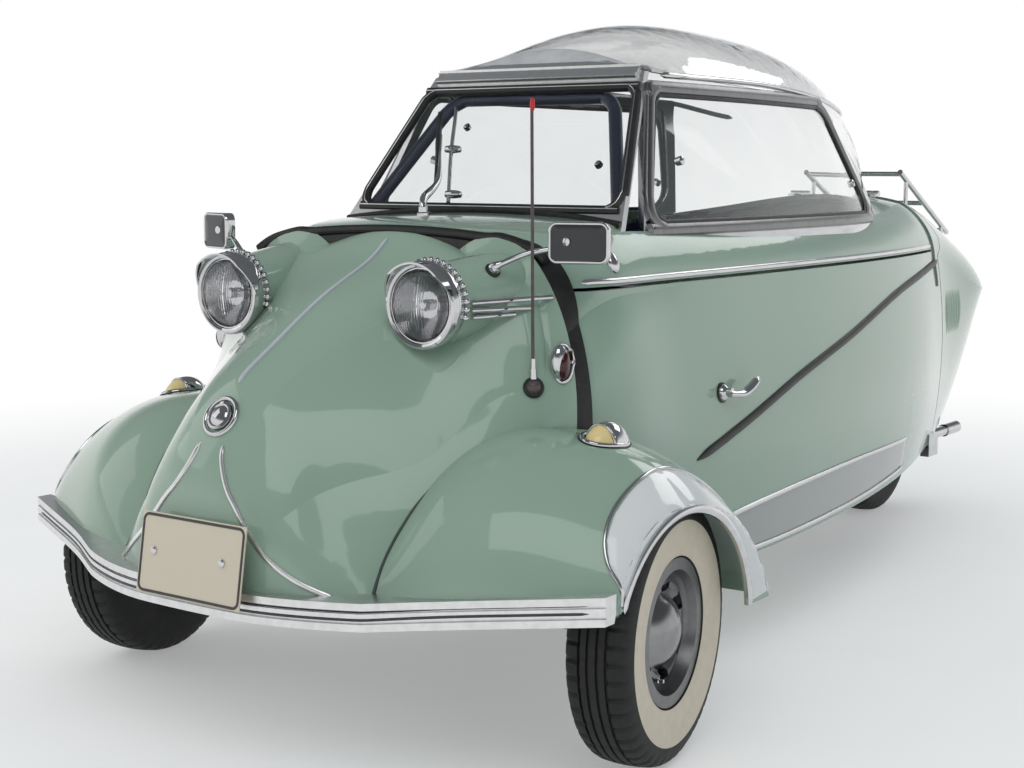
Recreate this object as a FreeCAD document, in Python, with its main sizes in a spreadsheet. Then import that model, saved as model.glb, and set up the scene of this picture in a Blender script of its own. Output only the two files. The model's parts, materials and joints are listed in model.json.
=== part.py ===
import FreeCAD, Part
import math
import os
import Sketcher

# A three-wheeled bubble car with two seats in line, at its real size in millimetres.
# X points to the car's left, Y to its rear and Z up. The ground is Z = 0.
# Stations are distances behind the front axle: Y = front_axle_y + station.

V = FreeCAD.Vector
doc = FreeCAD.newDocument("bubble_car")
sheet = doc.addObject("Spreadsheet::Sheet", "sizes")

SIZES = (
    # alias, millimetres or degrees
    ("front_axle_y", -945),
    ("wheelbase", 2030),
    ("track", 1080),
    ("tyre_radius", 207.5),
    ("tyre_width", 104),
    ("rim_seat_radius", 101.6),
    ("rim_flange_radius", 115),
    ("rim_half_width", 38),
    ("hub_radius", 34),
    ("spindle_radius", 10),
    ("spindle_clearance", 0.05),
    ("kingpin_offset", 75),
    ("kingpin_station", -10),
    ("joint_gap", 6),
    ("hub_depth", 20),
    ("cap_depth", 30),
    ("frame_height", 170),
    ("engine_gap", 40),
    ("floor_top", 232),
    ("bumper_foot", 247),
    ("bumper_height", 42),
    ("bumper_groove", 5),
    ("bumper_depth", 34),
    ("exhaust_spread", 128),
    ("exhaust_height", 196),
    ("dash_station", 330),
    ("bar_station", 505),
    ("bar_height", 700),
    ("column_run", 320),
    ("column_rise", 150),
    ("column_length", 340),
    ("plate_bottom", 268),
    ("hatch_hinge_x", 374),
    ("tail_hinge_height", 852),
    ("tail_hinge_spread", 95),
    ("kingpin_radius", 8),
    ("knuckle_radius", 17),
    ("knuckle_height", 84),
    ("steer_rest", 8),
    ("bar_ratio", 1.5),
    ("handle_station", 480),
    ("handle_height", 512),
    ("mirror_foot_x", 254),
    ("mirror_foot_station", -7),
    ("antenna_foot_x", 344),
    ("antenna_foot_station", -33),
    ("antenna_foot_height", 570),
    ("badge_station", -369),
    ("badge_height", 533),
    ("badge_lean", 60),
    ("axle_beam_radius", 21),
    ("panel", 12),
    ("fender_panel", 6),
    ("belt_height", 713),
    ("panel_gap", 6),
    ("nose_seam_station", 30),
    ("nose_seam_height", 530),
    ("nose_seam_slope", 0.1),
    ("bead_width", 28),
    ("bead_proud", 8),
    ("hatch_rear_station", 1762),
    ("tail_seam_station", 1835),
    ("deck_seam_station", 1790),
    ("deck_seam_height", 850),
    ("tail_step_station", 1872),
    ("tail_step_height", 716),
    ("tail_step_top", 745),
    ("bulkhead_station", 1470),
    ("glass", 5),
    ("frame_depth", 11),
    ("screen_foot_station", 289),
    ("screen_foot_height", 830),
    ("screen_head_station", 445),
    ("screen_head_height", 1058),
    ("arch_radius", 199),
    ("arch_height", 200),
    ("floor_thickness", 12),
    ("frame_tube_radius", 22),
    ("frame_tube_spread", 150),
    ("mount_radius", 16),
    ("mount_rise", 34),
    ("mount_front_station", 420),
    ("mount_rear_station", 1020),
    ("seat_width", 420),
    ("engine_length", 260),
    ("engine_width", 230),
    ("engine_height", 260),
    ("exhaust_radius", 17),
    ("plate_width", 218),
    ("plate_height", 124),
    ("plate_offset", 18),
    ("plate_station", -465),
    ("plate_lean", 9),
    ("plate_thickness", 2),
    ("lamp_radius", 66),
    ("lamp_spacing", 209),
    ("lamp_station", -125),
    ("lamp_height", 698),
)
for row, (alias, value) in enumerate(SIZES, start=1):
    sheet.set("A%d" % row, alias)
    sheet.set("B%d" % row, str(value))
    sheet.setAlias("B%d" % row, alias)
doc.recompute()


def size(alias):
    """Value of one named cell of the sheet."""
    return float(sheet.get(alias))


def at(station):
    """Y of a station behind the front axle."""
    return size("front_axle_y") + station


NODES = []


def publish(item, label):
    """Gives an object its node name and notes it for writing."""
    item.Label = label
    NODES.append(item)
    return item


def feature(label, shape):
    """A sub-part whose shape Part's own functions make."""
    item = doc.addObject("Part::Feature", label)
    item.Shape = shape
    item.Placement = FreeCAD.Placement()
    return publish(item, label)


def bind(item, **expressions):
    """Binds properties of an object to expressions on the sheet."""
    for name, expression in expressions.items():
        item.setExpression(name.replace("__", "."), expression)
    return item


def prism(points, axis, start, end):
    """Polygon of (a, b) pairs, extruded along X, Y or Z from start to end."""
    place = {
        "X": lambda a, b: V(start, a, b),
        "Y": lambda a, b: V(a, start, b),
        "Z": lambda a, b: V(a, b, start),
    }[axis]
    way = {"X": V(end - start, 0, 0), "Y": V(0, end - start, 0), "Z": V(0, 0, end - start)}[axis]
    corners = [place(a, b) for a, b in points]
    return Part.Face(Part.makePolygon(corners + corners[:1])).extrude(way)


def rounded(points, radius, axis, start, end):
    """The same prism with its long edges rounded."""
    solid = prism(points, axis, start, end)
    way = {"X": V(1, 0, 0), "Y": V(0, 1, 0), "Z": V(0, 0, 1)}[axis]
    long_edges = []
    for edge in solid.Edges:
        direction = edge.Vertexes[1].Point - edge.Vertexes[0].Point
        if abs(direction.normalize().dot(way)) > 0.999:
            long_edges.append(edge)
    return solid.makeFillet(radius, long_edges)


def box(x0, x1, y0, y1, z0, z1):
    """Block between two corners."""
    return Part.makeBox(x1 - x0, y1 - y0, z1 - z0, V(x0, y0, z0))


def rod(start, end, radius):
    """Round bar from one point to another."""
    run = V(*end) - V(*start)
    return Part.makeCylinder(radius, run.Length, V(*start), run)


def bent_tube(points, radius, bend):
    """Round bar along straight runs joined by tangent arcs of one radius."""
    path = [V(*p) for p in points]
    edges = []
    last = path[0]
    for before, corner, after in zip(path, path[1:], path[2:]):
        back = (before - corner).normalize()
        ahead = (after - corner).normalize()
        half = back.getAngle(ahead) / 2
        setback = bend / math.tan(half)
        start = corner + back * setback
        end = corner + ahead * setback
        middle_way = (back + ahead).normalize()
        middle = corner + middle_way * (bend / math.sin(half) - bend)
        edges.append(Part.LineSegment(last, start).toShape())
        edges.append(Part.Arc(start, middle, end).toShape())
        last = end
    edges.append(Part.LineSegment(last, path[-1]).toShape())
    wire = Part.Wire(edges)
    first = edges[0].Vertexes[0].Point
    way = (edges[0].Vertexes[1].Point - first).normalize()
    ring = Part.Wire(Part.makeCircle(radius, first, way))
    return wire.makePipeShell([ring], True, False)


def mirrored(shape):
    """The same shape on the other side of the car."""
    return shape.mirror(V(0, 0, 0), V(1, 0, 0))


def both(shape):
    """A shape and its twin on the other side, as one compound."""
    return Part.makeCompound([shape, mirrored(shape)])


# ---------------------------------------------------------------- body lofts

NOSE_SECTIONS = (
    # station, floor z, foot x, flank x, z, belt x, z, shoulder x, z, brow x, z, crown z
    (-436, 262, 52, 55, 275, 50, 292, 40, 304, 24, 311, 314),
    (-424, 262, 112, 106, 292, 90, 332, 66, 364, 36, 380, 386),
    (-395, 262, 195, 181, 322, 143, 392, 100, 447, 50, 475, 482),
    (-335, 262, 276, 234, 328, 170, 428, 128, 503, 72, 558, 576),
    (-270, 262, 302, 270, 376, 217, 450, 152, 543, 82, 604, 622),
    (-220, 262, 320, 301, 400, 255, 464, 190, 549, 100, 628, 653),
    (-140, 260, 340, 340, 446, 287, 515, 226, 586, 126, 668, 700),
    (-60, 255, 350, 368, 465, 322, 562, 272, 642, 176, 716, 737),
    (0, 250, 353, 388, 476, 345, 622, 304, 700, 210, 752, 769),
    (115, 240, 355, 415, 480, 368, 690, 333, 766, 250, 802, 814),
)
HULL_SECTIONS = (
    # the same columns
    (-60, 255, 350, 368, 465, 322, 562, 272, 642, 176, 716, 737),
    (0, 250, 353, 388, 476, 345, 622, 304, 700, 210, 752, 769),
    (115, 235, 355, 415, 480, 368, 690, 333, 766, 250, 802, 814),
    (270, 205, 368, 409, 450, 363, 703, 336, 783, 285, 816, 829),
    (450, 195, 393, 405, 430, 362, 712, 339, 777, 298, 813, 834),
    (800, 195, 398, 403, 430, 360, 715, 337, 771, 292, 806, 830),
    (1200, 205, 375, 386, 430, 345, 712, 321, 768, 278, 799, 822),
    (1550, 220, 325, 345, 430, 311, 705, 287, 768, 233, 812, 836),
    (1850, 240, 255, 277, 430, 259, 690, 234, 766, 170, 824, 844),
    (2100, 255, 182, 229, 430, 242, 627, 212, 702, 146, 753, 770),
    (2280, 265, 102, 160, 430, 216, 592, 184, 641, 114, 673, 685),
    (2345, 285, 48, 88, 430, 162, 585, 135, 604, 82, 615, 620),
)
CANOPY_SECTIONS = (
    # station, foot x at z 740, gutter x, gutter z, crown z
    (150, 326, 252, 1083, 1096),
    (445, 337, 237, 1085, 1106),
    (600, 341, 247, 1078, 1166),
    (900, 339, 243, 1068, 1200),
    (1150, 330, 225, 1042, 1190),
    (1400, 297, 203, 961, 1146),
    (1580, 238, 167, 885, 1039),
    (1700, 160, 100, 850, 905),
    (1738, 100, 50, 838, 852),
)


def half_ring(y, pairs):
    """Points on both sides of a section, from the foot up to the brow."""
    left = [V(x, y, z) for x, z in pairs]
    right = [V(-x, y, z) for x, z in pairs]
    return left, right


def hull_ring(y, row, inset):
    """One closed body section, made of arcs over a flat floor."""
    floor, foot, flank, flank_z, belt, belt_z, shoulder, shoulder_z, brow, brow_z, crown = row
    drop = inset * 0.6
    pairs = (
        (foot - inset, floor + inset),
        (flank - inset, flank_z),
        (belt - inset, belt_z),
        (shoulder - inset, shoulder_z - drop),
        (brow - drop, brow_z - inset),
    )
    left, right = half_ring(y, pairs)
    top = V(0, y, crown - inset)
    edges = [
        Part.LineSegment(right[0], left[0]).toShape(),
        Part.Arc(left[0], left[1], left[2]).toShape(),
        Part.Arc(left[2], left[3], left[4]).toShape(),
        Part.Arc(left[4], top, right[4]).toShape(),
        Part.Arc(right[4], right[3], right[2]).toShape(),
        Part.Arc(right[2], right[1], right[0]).toShape(),
    ]
    return Part.Wire(edges)


def nose_loft(inset):
    """The nose form, set in on every side and moved back by the same amount."""
    rings = []
    for station, *row in NOSE_SECTIONS:
        inner = min(inset, row[1] * 0.3)
        rings.append(hull_ring(at(station) + inset, row, inner))
    return Part.makeLoft(rings, True, False)


def hull_loft(inset):
    """The body form from the nose seam to the tail, set in on every side."""
    rings = []
    for station, *row in HULL_SECTIONS:
        back = inset * max(0.0, (station - 1850) / 495.0) * 1.6
        inner = min(inset, row[1] * 0.3)
        rings.append(hull_ring(at(station) - back, row, inner))
    return Part.makeLoft(rings, True, False)


def canopy_loft(inset):
    """The glass form: straight leaning sides under a round crown."""
    foot_z = 740
    rings = []
    for station, foot, gutter, gutter_z, crown in CANOPY_SECTIONS:
        y = at(station)
        if station > 1500:
            y -= inset * (station - 1500) / 240.0
        left, right = half_ring(y, ((foot - inset, foot_z), (gutter - inset, gutter_z - inset * 0.3)))
        top = V(0, y, crown - inset)
        rings.append(Part.Wire([
            Part.LineSegment(right[0], left[0]).toShape(),
            Part.LineSegment(left[0], left[1]).toShape(),
            Part.Arc(left[1], top, right[1]).toShape(),
            Part.LineSegment(right[1], right[0]).toShape(),
        ]))
    return Part.makeLoft(rings, True, False)


FAR = 1500.0
PANEL = size("panel")
GAP = size("panel_gap")
BELT = size("belt_height")
TAIL_STEP_TOP = size("tail_step_top")
hull = hull_loft(0)
hull_inside = hull_loft(PANEL)
skin = hull.cut(hull_inside)
canopy = canopy_loft(0)
canopy_inside = canopy_loft(size("glass"))


def seam_y(z, offset):
    """Y of the leaning nose seam at a height, moved back by an offset."""
    lean = (z - size("nose_seam_height")) * size("nose_seam_slope")
    return at(size("nose_seam_station")) + lean + offset


def behind_nose_seam(offset):
    """Everything behind the nose seam."""
    return prism(((seam_y(0, offset), 0), (FAR * 2, 0), (FAR * 2, FAR), (seam_y(FAR, offset), FAR)),
                 "X", -FAR, FAR)


def deck_seam_y(z, offset):
    """Y of the slanting seam across the rear deck at a height."""
    return at(size("deck_seam_station")) + size("deck_seam_height") - z + offset


def behind_tail_seam(offset):
    """Everything behind the tail's seam: upright on the flanks, slanting over the deck."""
    upright = at(size("tail_seam_station")) + offset
    top = 1100.0
    return prism(((upright, -100), (FAR * 2, -100), (FAR * 2, FAR), (deck_seam_y(top, offset), FAR),
                  (deck_seam_y(top, offset), top), (deck_seam_y(TAIL_STEP_TOP, offset), TAIL_STEP_TOP),
                  (at(size("tail_step_station")) + offset, size("tail_step_height")),
                  (upright, BELT - 12)), "X", -FAR, FAR)


def floor_plan(inset, start, end, low, high):
    """Upright prism inside the body's foot line, between two stations."""
    rows = [(row[2] - inset, at(row[0])) for row in HULL_SECTIONS]
    left = [(x, y) for x, y in rows if x > 1]
    right = [(-x, y) for x, y in reversed(left)]
    plan = prism(tuple(left + right), "Z", low, high)
    return plan.common(box(-FAR, FAR, at(start), at(end), low, high))


# ---------------------------------------------------------------- nose and fenders

nose_skin = nose_loft(0).cut(nose_loft(PANEL))
nose_skin = nose_skin.cut(box(-FAR, FAR, -FAR, FAR, 0, 264 + PANEL))
bead = size("bead_width")


POD_RINGS = (
    # distance behind the lamp, shift outward, drop of the centre
    (8, 0, 0), (60, 6, -4), (120, 16, -12), (190, 30, -19),
)


def lamp_pod():
    """Fairing behind a headlamp that sinks into the nose towards the seam."""
    rings = []
    for back, outward, drop in POD_RINGS:
        centre = V(size("lamp_spacing") + outward, at(size("lamp_station")) + back, size("lamp_height") - drop)
        rings.append(Part.Wire(Part.makeCircle(size("lamp_radius") - 2, centre, V(0, 1, 0))))
    return Part.makeLoft(rings, True, False)


pods = both(lamp_pod())
nose_outer = nose_loft(0)
nose_body = nose_outer
for pod in pods.Solids:
    nose_body = nose_body.fuse(pod)
nose_hollow = nose_loft(PANEL).fuse(box(-335, 335, at(-300), at(140), 200, 264))
nose_body = nose_body.cut(nose_hollow)
nose_body = nose_body.cut(behind_nose_seam(-bead / 2))
feature("nose_shell", nose_body)

FENDER_SECTIONS = (
    # x, front station, front mid station, z, crest station, z, rear mid station, z, rear station
    (255, -338, -264, 372, 0, 498, 190, 462, 262),
    (360, -322, -266, 402, 0, 506, 185, 462, 266),
    (460, -284, -234, 400, 0, 494, 175, 430, 272),
    (540, -250, -208, 375, 5, 464, 175, 398, 276),
    (590, -226, -194, 345, 8, 424, 178, 362, 276),
    (609, -212, -184, 330, 8, 404, 174, 345, 270),
)


def fender_loft(inset):
    """One front wing form, in sections across the car."""
    foot_z = 205
    rings = []
    for x, front, front_mid, front_z, crest, crest_z, rear_mid, rear_z, rear in FENDER_SECTIONS:
        outward = x - inset if x > 500 else x
        points = [
            V(outward, at(front + inset), foot_z),
            V(outward, at(front + inset), 262),
            V(outward, at(front_mid + inset), front_z - inset * 0.7),
            V(outward, at(crest), crest_z - inset),
            V(outward, at(rear_mid - inset), rear_z - inset * 0.7),
            V(outward, at(rear - inset), foot_z),
        ]
        rings.append(Part.Wire([
            Part.LineSegment(points[5], points[0]).toShape(),
            Part.LineSegment(points[0], points[1]).toShape(),
            Part.Arc(points[1], points[2], points[3]).toShape(),
            Part.Arc(points[3], points[4], points[5]).toShape(),
        ]))
    return Part.makeLoft(rings, True, False)


def bumper_band(low, high):
    """Slab across the car that rises towards both wings, between two heights above the bumper's foot."""
    line = [(0, 0), (290, 0), (400, 8), (FAR, 8 + (FAR - 400) * 0.09)]
    foot = size("bumper_foot")
    under = [(x, foot + z + low) for x, z in line]
    over = [(x, foot + z + high) for x, z in line]
    left = prism(tuple(under + over[::-1]), "Y", -FAR, FAR)
    return left.fuse(mirrored(left))


def fender():
    """Left front wing: a thin shell with its wheel arch, cut to the nose and the body."""
    shell = fender_loft(0).cut(fender_loft(size("fender_panel")))
    shell = shell.cut(nose_outer)
    shell = shell.cut(hull)
    shell = shell.cut(bumper_band(-250, 10).common(box(0, FAR, -FAR, at(0), 0, FAR)))
    shell = shell.cut(box(0, FAR, -FAR, FAR, 0, 215))
    arch = Part.makeCylinder(size("arch_radius"), 60, V(585, at(-6), size("arch_height")), V(1, 0, 0))
    shell = shell.cut(arch)
    shell = shell.cut(box(0, 320, at(-200), at(400), 0, 400))
    return max(shell.Solids, key=lambda s: s.Volume)


left_fender = fender()
feature("fender_left", left_fender)
feature("fender_right", mirrored(left_fender))

# ---------------------------------------------------------------- tub

tub = skin.common(behind_nose_seam(bead / 2))
tub = tub.cut(behind_tail_seam(-GAP / 2))
cabin_top = box(-FAR, FAR, -FAR, at(size("hatch_rear_station") + GAP), BELT, FAR)
tub = tub.cut(cabin_top)
slab = 16.0
bulkhead = box(-FAR, FAR, at(size("bulkhead_station")), at(size("bulkhead_station")) + slab, 0, 690)
tub = tub.fuse(bulkhead.common(hull))
firewall = prism(((seam_y(100, bead / 2), 100), (seam_y(100, bead / 2) + slab, 100),
                  (seam_y(BELT, bead / 2) + slab, BELT), (seam_y(BELT, bead / 2), BELT)), "X", -FAR, FAR)
tub = tub.fuse(firewall.common(hull).cut(box(-FAR, FAR, -FAR, FAR, BELT - 20, FAR)))
tub = tub.cut(floor_plan(PANEL * 2, size("bulkhead_station") + slab, 1900, 0, 300))
tub_item = feature("tub_shell", tub)

# ---------------------------------------------------------------- hatch

hatch_zone = behind_nose_seam(bead / 2 + GAP).cut(
    box(-FAR, FAR, at(size("hatch_rear_station")), FAR * 2, 0, FAR))
hatch_zone = hatch_zone.cut(box(-FAR, FAR, -FAR, FAR, 0, BELT + GAP))

run = size("screen_head_station") - size("screen_foot_station")
rise = size("screen_head_height") - size("screen_foot_height")
lean = run / rise


def screen_slab(start, end):
    """Slab along the windscreen plane, between two depths behind it."""
    low, high = 700.0, 1300.0
    foot = size("screen_foot_station") + (low - size("screen_foot_height")) * lean
    head = size("screen_foot_station") + (high - size("screen_foot_height")) * lean
    return prism(((at(foot + start), low), (at(foot + end), low),
                  (at(head + end), high), (at(head + start), high)), "X", -FAR, FAR)


hatch_metal = skin.common(hatch_zone).cut(canopy.common(screen_slab(0, 4000)))
feature("hatch_shell", hatch_metal)
above_deck = canopy.cut(hull)
screen_depth = 14.0
gutter_top = 1106.0
screen_all = above_deck.common(screen_slab(0, screen_depth)).common(box(-FAR, FAR, -FAR, FAR, 0, gutter_top))
screen_hole = rounded(((-294, 836), (294, 836), (229, 1054), (-229, 1054)), 26, "Y", -FAR, 0)
screen_frame = screen_all.cut(screen_hole)
screen_pane = above_deck.common(screen_slab(4, 4 + size("glass"))).common(screen_hole)
feature("windscreen_frame", screen_frame)
feature("windscreen", screen_pane)

behind_screen = screen_slab(screen_depth, 3000)
SIDE_WINDOW = ((358, 808), (470, 1050), (1262, 1050), (1402, 808))


def side_prism(outline, radius, start, end):
    """Window-shaped prism across one side of the canopy."""
    return rounded([(at(y), z) for y, z in outline], radius, "X", start, end)


frame_inside = canopy_loft(size("frame_depth"))
frame_skin = above_deck.cut(frame_inside).common(behind_screen)
dome_skin = above_deck.cut(canopy_inside).common(behind_screen)
side_zone = side_prism(((300, 700), (452, 1068), (1282, 1068), (1480, 700)), 20, 150, 400)
window_zone = side_prism(SIDE_WINDOW, 42, 150, 400)
left_frame = frame_skin.common(side_zone).cut(window_zone)
left_pane = dome_skin.common(window_zone)
feature("side_frames", both(left_frame))
feature("side_windows", both(left_pane))
dome = dome_skin.cut(side_zone).cut(mirrored(side_zone))
feature("dome", max(dome.Solids, key=lambda s: s.Volume))

# ---------------------------------------------------------------- tail

tail = skin.common(behind_tail_seam(GAP / 2))
tail = tail.cut(floor_plan(PANEL, 1700, 2330, 0, 300))
feature("tail_shell", max(tail.Solids, key=lambda s: s.Volume))

# ---------------------------------------------------------------- rubber seam and bumper

ring_band = hull_loft(-size("bead_proud")).cut(hull_inside)
seam_band = behind_nose_seam(-bead / 2).cut(behind_nose_seam(bead / 2))
nose_bead = ring_band.common(seam_band).cut(left_fender).cut(mirrored(left_fender))
nose_bead = nose_bead.cut(box(-FAR, FAR, -FAR, FAR, 0, 264))
feature("nose_bead", max(nose_bead.Solids, key=lambda s: s.Volume))

BUMPER_PLAN = (
    # x, station of the front face
    (0, -448), (60, -447), (118, -443), (199, -423), (295, -381), (379, -334), (462, -296), (544, -262), (609, -234),
)


def bumper_slab(inset, low, high):
    """Bumper bar in plan, set in from its front face, between two heights above its foot."""
    front = [(x, at(station) + inset) for x, station in BUMPER_PLAN]
    curve = Part.BSplineCurve()
    curve.interpolate([V(-x, y, 0) for x, y in front[:0:-1]] + [V(x, y, 0) for x, y in front])
    end_left = curve.EndPoint
    end_right = curve.StartPoint
    back = at(-205)
    wire = Part.Wire([
        curve.toShape(),
        Part.LineSegment(end_left, V(end_left.x, back, 0)).toShape(),
        Part.LineSegment(V(end_left.x, back, 0), V(end_right.x, back, 0)).toShape(),
        Part.LineSegment(V(end_right.x, back, 0), end_right).toShape(),
    ])
    slab_form = Part.Face(wire).extrude(V(0, 0, FAR))
    return slab_form.common(bumper_band(low, high))


bar_height = size("bumper_height")
rib = bar_height * 0.26
strip = bumper_slab(size("bumper_groove"), 0, bar_height)
for low in (0, (bar_height - rib) / 2, bar_height - rib):
    strip = strip.fuse(bumper_slab(0, low, low + rib))
forms = nose_outer.fuse(fender_loft(0)).fuse(mirrored(fender_loft(0)))
strip = strip.cut(bumper_slab(size("bumper_depth"), -5, bar_height + 5))
strip = strip.cut(forms)
feature("bumper_strip", max(strip.Solids, key=lambda s: s.Volume))

# ---------------------------------------------------------------- primitives on the sheet


def value_of(expression):
    """Number that an expression on the sheet gives."""
    return float(sheet.evalExpression(expression))


def place(item, x, y, z, axis="Z"):
    """Puts an object at expressions for X, Y and Z, its own axis along X, Y or Z."""
    turn = {
        "X": FreeCAD.Rotation(V(0, 1, 0), 90),
        "Y": FreeCAD.Rotation(V(1, 0, 0), -90),
        "Z": FreeCAD.Rotation(),
    }[axis]
    item.Placement = FreeCAD.Placement(V(), turn)
    bind(item, Placement__Base__x=x, Placement__Base__y=y, Placement__Base__z=z)
    return item


def cylinder(name, radius, length, x, y, z, axis):
    """Part::Cylinder with its sizes and place bound to the sheet."""
    item = doc.addObject("Part::Cylinder", name)
    bind(item, Radius=radius, Height=length)
    return place(item, x, y, z, axis)


def block(name, length, width, height, x, y, z):
    """Part::Box with its sizes and near corner bound to the sheet."""
    item = doc.addObject("Part::Box", name)
    bind(item, Length=length, Width=width, Height=height)
    return place(item, x, y, z)


def fuse(name, pieces):
    """Part::MultiFuse of several objects."""
    item = doc.addObject("Part::MultiFuse", name)
    item.Shapes = pieces
    return item


def cut(name, base, tool):
    """Part::Cut of one object from another."""
    item = doc.addObject("Part::Cut", name)
    item.Base = base
    item.Tool = tool
    return item


def origin_plane(body, role):
    """One of a body's own origin planes or axes."""
    return [item for item in body.Origin.OriginFeatures if item.Role == role][0]


def outline_sketch(body, role, corners):
    """Closed outline whose corners are bound to expressions (across, up) on the sheet."""
    sketch = body.newObject("Sketcher::SketchObject", body.Name + "_outline")
    sketch.AttachmentSupport = [(origin_plane(body, role), "")]
    sketch.MapMode = "FlatFace"
    points = [V(value_of(a), value_of(b), 0) for a, b in corners]
    count = len(points)
    for n in range(count):
        sketch.addGeometry(Part.LineSegment(points[n], points[(n + 1) % count]), False)
    for n in range(count):
        sketch.addConstraint(Sketcher.Constraint("Coincident", n, 2, (n + 1) % count, 1))
    for n, (across, up) in enumerate(corners):
        for kind, distance in (("DistanceX", across), ("DistanceY", up)):
            number = sketch.addConstraint(
                Sketcher.Constraint(kind, -1, 1, n, 1, value_of(distance)))
            sketch.setExpression("Constraints[%d]" % number, distance)
    return sketch


def turned(label, corners):
    """PartDesign body turned about the X axis from an outline of (along, radius)."""
    body = doc.addObject("PartDesign::Body", label)
    sketch = outline_sketch(body, "XY_Plane", corners)
    turning = body.newObject("PartDesign::Revolution", label + "_turned")
    turning.Profile = sketch
    turning.ReferenceAxis = (sketch, ["H_Axis"])
    turning.Angle = 360
    body.Tip = turning
    return body


def slotted(body, corners, count):
    """Slots through a turned body along its axis: one pocket, repeated round the axis."""
    sketch = outline_sketch(body, "YZ_Plane", corners)
    pocket = body.newObject("PartDesign::Pocket", body.Name + "_slot")
    pocket.Profile = sketch
    pocket.Type = 1
    pocket.Midplane = True
    pattern = body.newObject("PartDesign::PolarPattern", body.Name + "_slots")
    pattern.Originals = [pocket]
    pattern.Axis = (origin_plane(body, "X_Axis"), [""])
    pattern.Angle = 360
    pattern.Occurrences = count
    body.Tip = pattern
    return body


# ---------------------------------------------------------------- wheels

SLOT_OUTLINE = (
    # across the slot, distance from the axle
    ("-13", "sizes.hub_radius + 26"),
    ("13", "sizes.hub_radius + 26"),
    ("18", "sizes.hub_radius + 41"),
    ("-18", "sizes.hub_radius + 41"),
)
RIM_OUTLINE = (
    # along the axle, outward; radius
    ("-sizes.hub_depth", "sizes.spindle_radius + sizes.spindle_clearance"),
    ("sizes.cap_depth - 8", "sizes.spindle_radius + sizes.spindle_clearance"),
    ("sizes.cap_depth - 8", "0"),
    ("sizes.cap_depth", "0"),
    ("sizes.cap_depth", "sizes.hub_radius - 4"),
    ("sizes.cap_depth - 4", "sizes.hub_radius"),
    ("14", "sizes.hub_radius + 4"),
    ("14", "sizes.hub_radius + 20"),
    ("27", "sizes.rim_seat_radius - 34"),
    ("27", "sizes.rim_seat_radius - 26"),
    ("20", "sizes.rim_seat_radius - 14"),
    ("28", "sizes.rim_seat_radius - 10"),
    ("sizes.rim_half_width + 4", "sizes.rim_seat_radius - 5"),
    ("sizes.rim_half_width + 4", "sizes.rim_flange_radius"),
    ("sizes.rim_half_width", "sizes.rim_flange_radius"),
    ("sizes.rim_half_width", "sizes.rim_seat_radius"),
    ("20", "sizes.rim_seat_radius - 4"),
    ("12", "sizes.rim_seat_radius - 12"),
    ("-12", "sizes.rim_seat_radius - 12"),
    ("-20", "sizes.rim_seat_radius - 4"),
    ("-sizes.rim_half_width", "sizes.rim_seat_radius"),
    ("-sizes.rim_half_width", "sizes.rim_flange_radius"),
    ("-sizes.rim_half_width - 4", "sizes.rim_flange_radius"),
    ("-sizes.rim_half_width - 4", "sizes.rim_seat_radius - 5"),
    ("-24", "sizes.rim_seat_radius - 10"),
    ("-15", "sizes.rim_seat_radius - 17"),
    ("10", "sizes.rim_seat_radius - 17"),
    ("21", "sizes.rim_seat_radius - 28"),
    ("21", "sizes.rim_seat_radius - 33"),
    ("8", "sizes.hub_radius + 22"),
    ("8", "sizes.hub_radius"),
    ("-sizes.hub_depth", "sizes.hub_radius"),
)
TYRE_OUTLINE = (
    ("sizes.rim_half_width", "sizes.rim_seat_radius"),
    ("sizes.rim_half_width", "sizes.rim_flange_radius + 1"),
    ("sizes.tyre_width / 2 - 5", "sizes.rim_flange_radius + 16"),
    ("sizes.tyre_width / 2", "sizes.tyre_radius - 54"),
    ("sizes.tyre_width / 2 - 1", "sizes.tyre_radius - 34"),
    ("sizes.tyre_width / 2 - 7", "sizes.tyre_radius - 15"),
    ("sizes.tyre_width / 2 - 18", "sizes.tyre_radius - 4.5"),
    ("sizes.tyre_width / 2 - 34", "sizes.tyre_radius"),
    ("-sizes.tyre_width / 2 + 34", "sizes.tyre_radius"),
    ("-sizes.tyre_width / 2 + 18", "sizes.tyre_radius - 4.5"),
    ("-sizes.tyre_width / 2 + 7", "sizes.tyre_radius - 15"),
    ("-sizes.tyre_width / 2 + 1", "sizes.tyre_radius - 34"),
    ("-sizes.tyre_width / 2", "sizes.tyre_radius - 54"),
    ("-sizes.tyre_width / 2 + 5", "sizes.rim_flange_radius + 16"),
    ("-sizes.rim_half_width", "sizes.rim_flange_radius + 1"),
    ("-sizes.rim_half_width", "sizes.rim_seat_radius"),
)


def steered(local, side):
    """Placement of a piece on a front knuckle, given its place from the kingpin when straight."""
    turn = FreeCAD.Rotation(V(0, 0, 1), size("steer_rest"))
    facing = FreeCAD.Rotation(V(0, 0, 1), 0 if side > 0 else 180)
    kingpin = V(side * KINGPIN_X, at(size("kingpin_station")), size("tyre_radius"))
    return FreeCAD.Placement(kingpin + turn.multVec(local), turn.multiply(facing))


KINGPIN_X = size("track") / 2 - size("kingpin_offset")
hub = V(size("kingpin_offset"), 0, 0)
wheel_places = (
    ("front_left", steered(hub, 1)),
    ("front_right", steered(hub * -1, -1)),
    ("rear", FreeCAD.Placement(V(0, at(size("wheelbase")), size("tyre_radius")),
                               FreeCAD.Rotation(V(0, 0, 1), 180))),
)
for name, placement in wheel_places:
    for kind, outline in (("rim", RIM_OUTLINE), ("tyre", TYRE_OUTLINE)):
        wheel_piece = turned("%s_%s" % (kind, name), outline)
        if kind == "rim":
            slotted(wheel_piece, SLOT_OUTLINE, 6)
        wheel_piece.Placement = placement
        publish(wheel_piece, "%s_%s" % (kind, name))

# ---------------------------------------------------------------- front axle and knuckles

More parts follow.
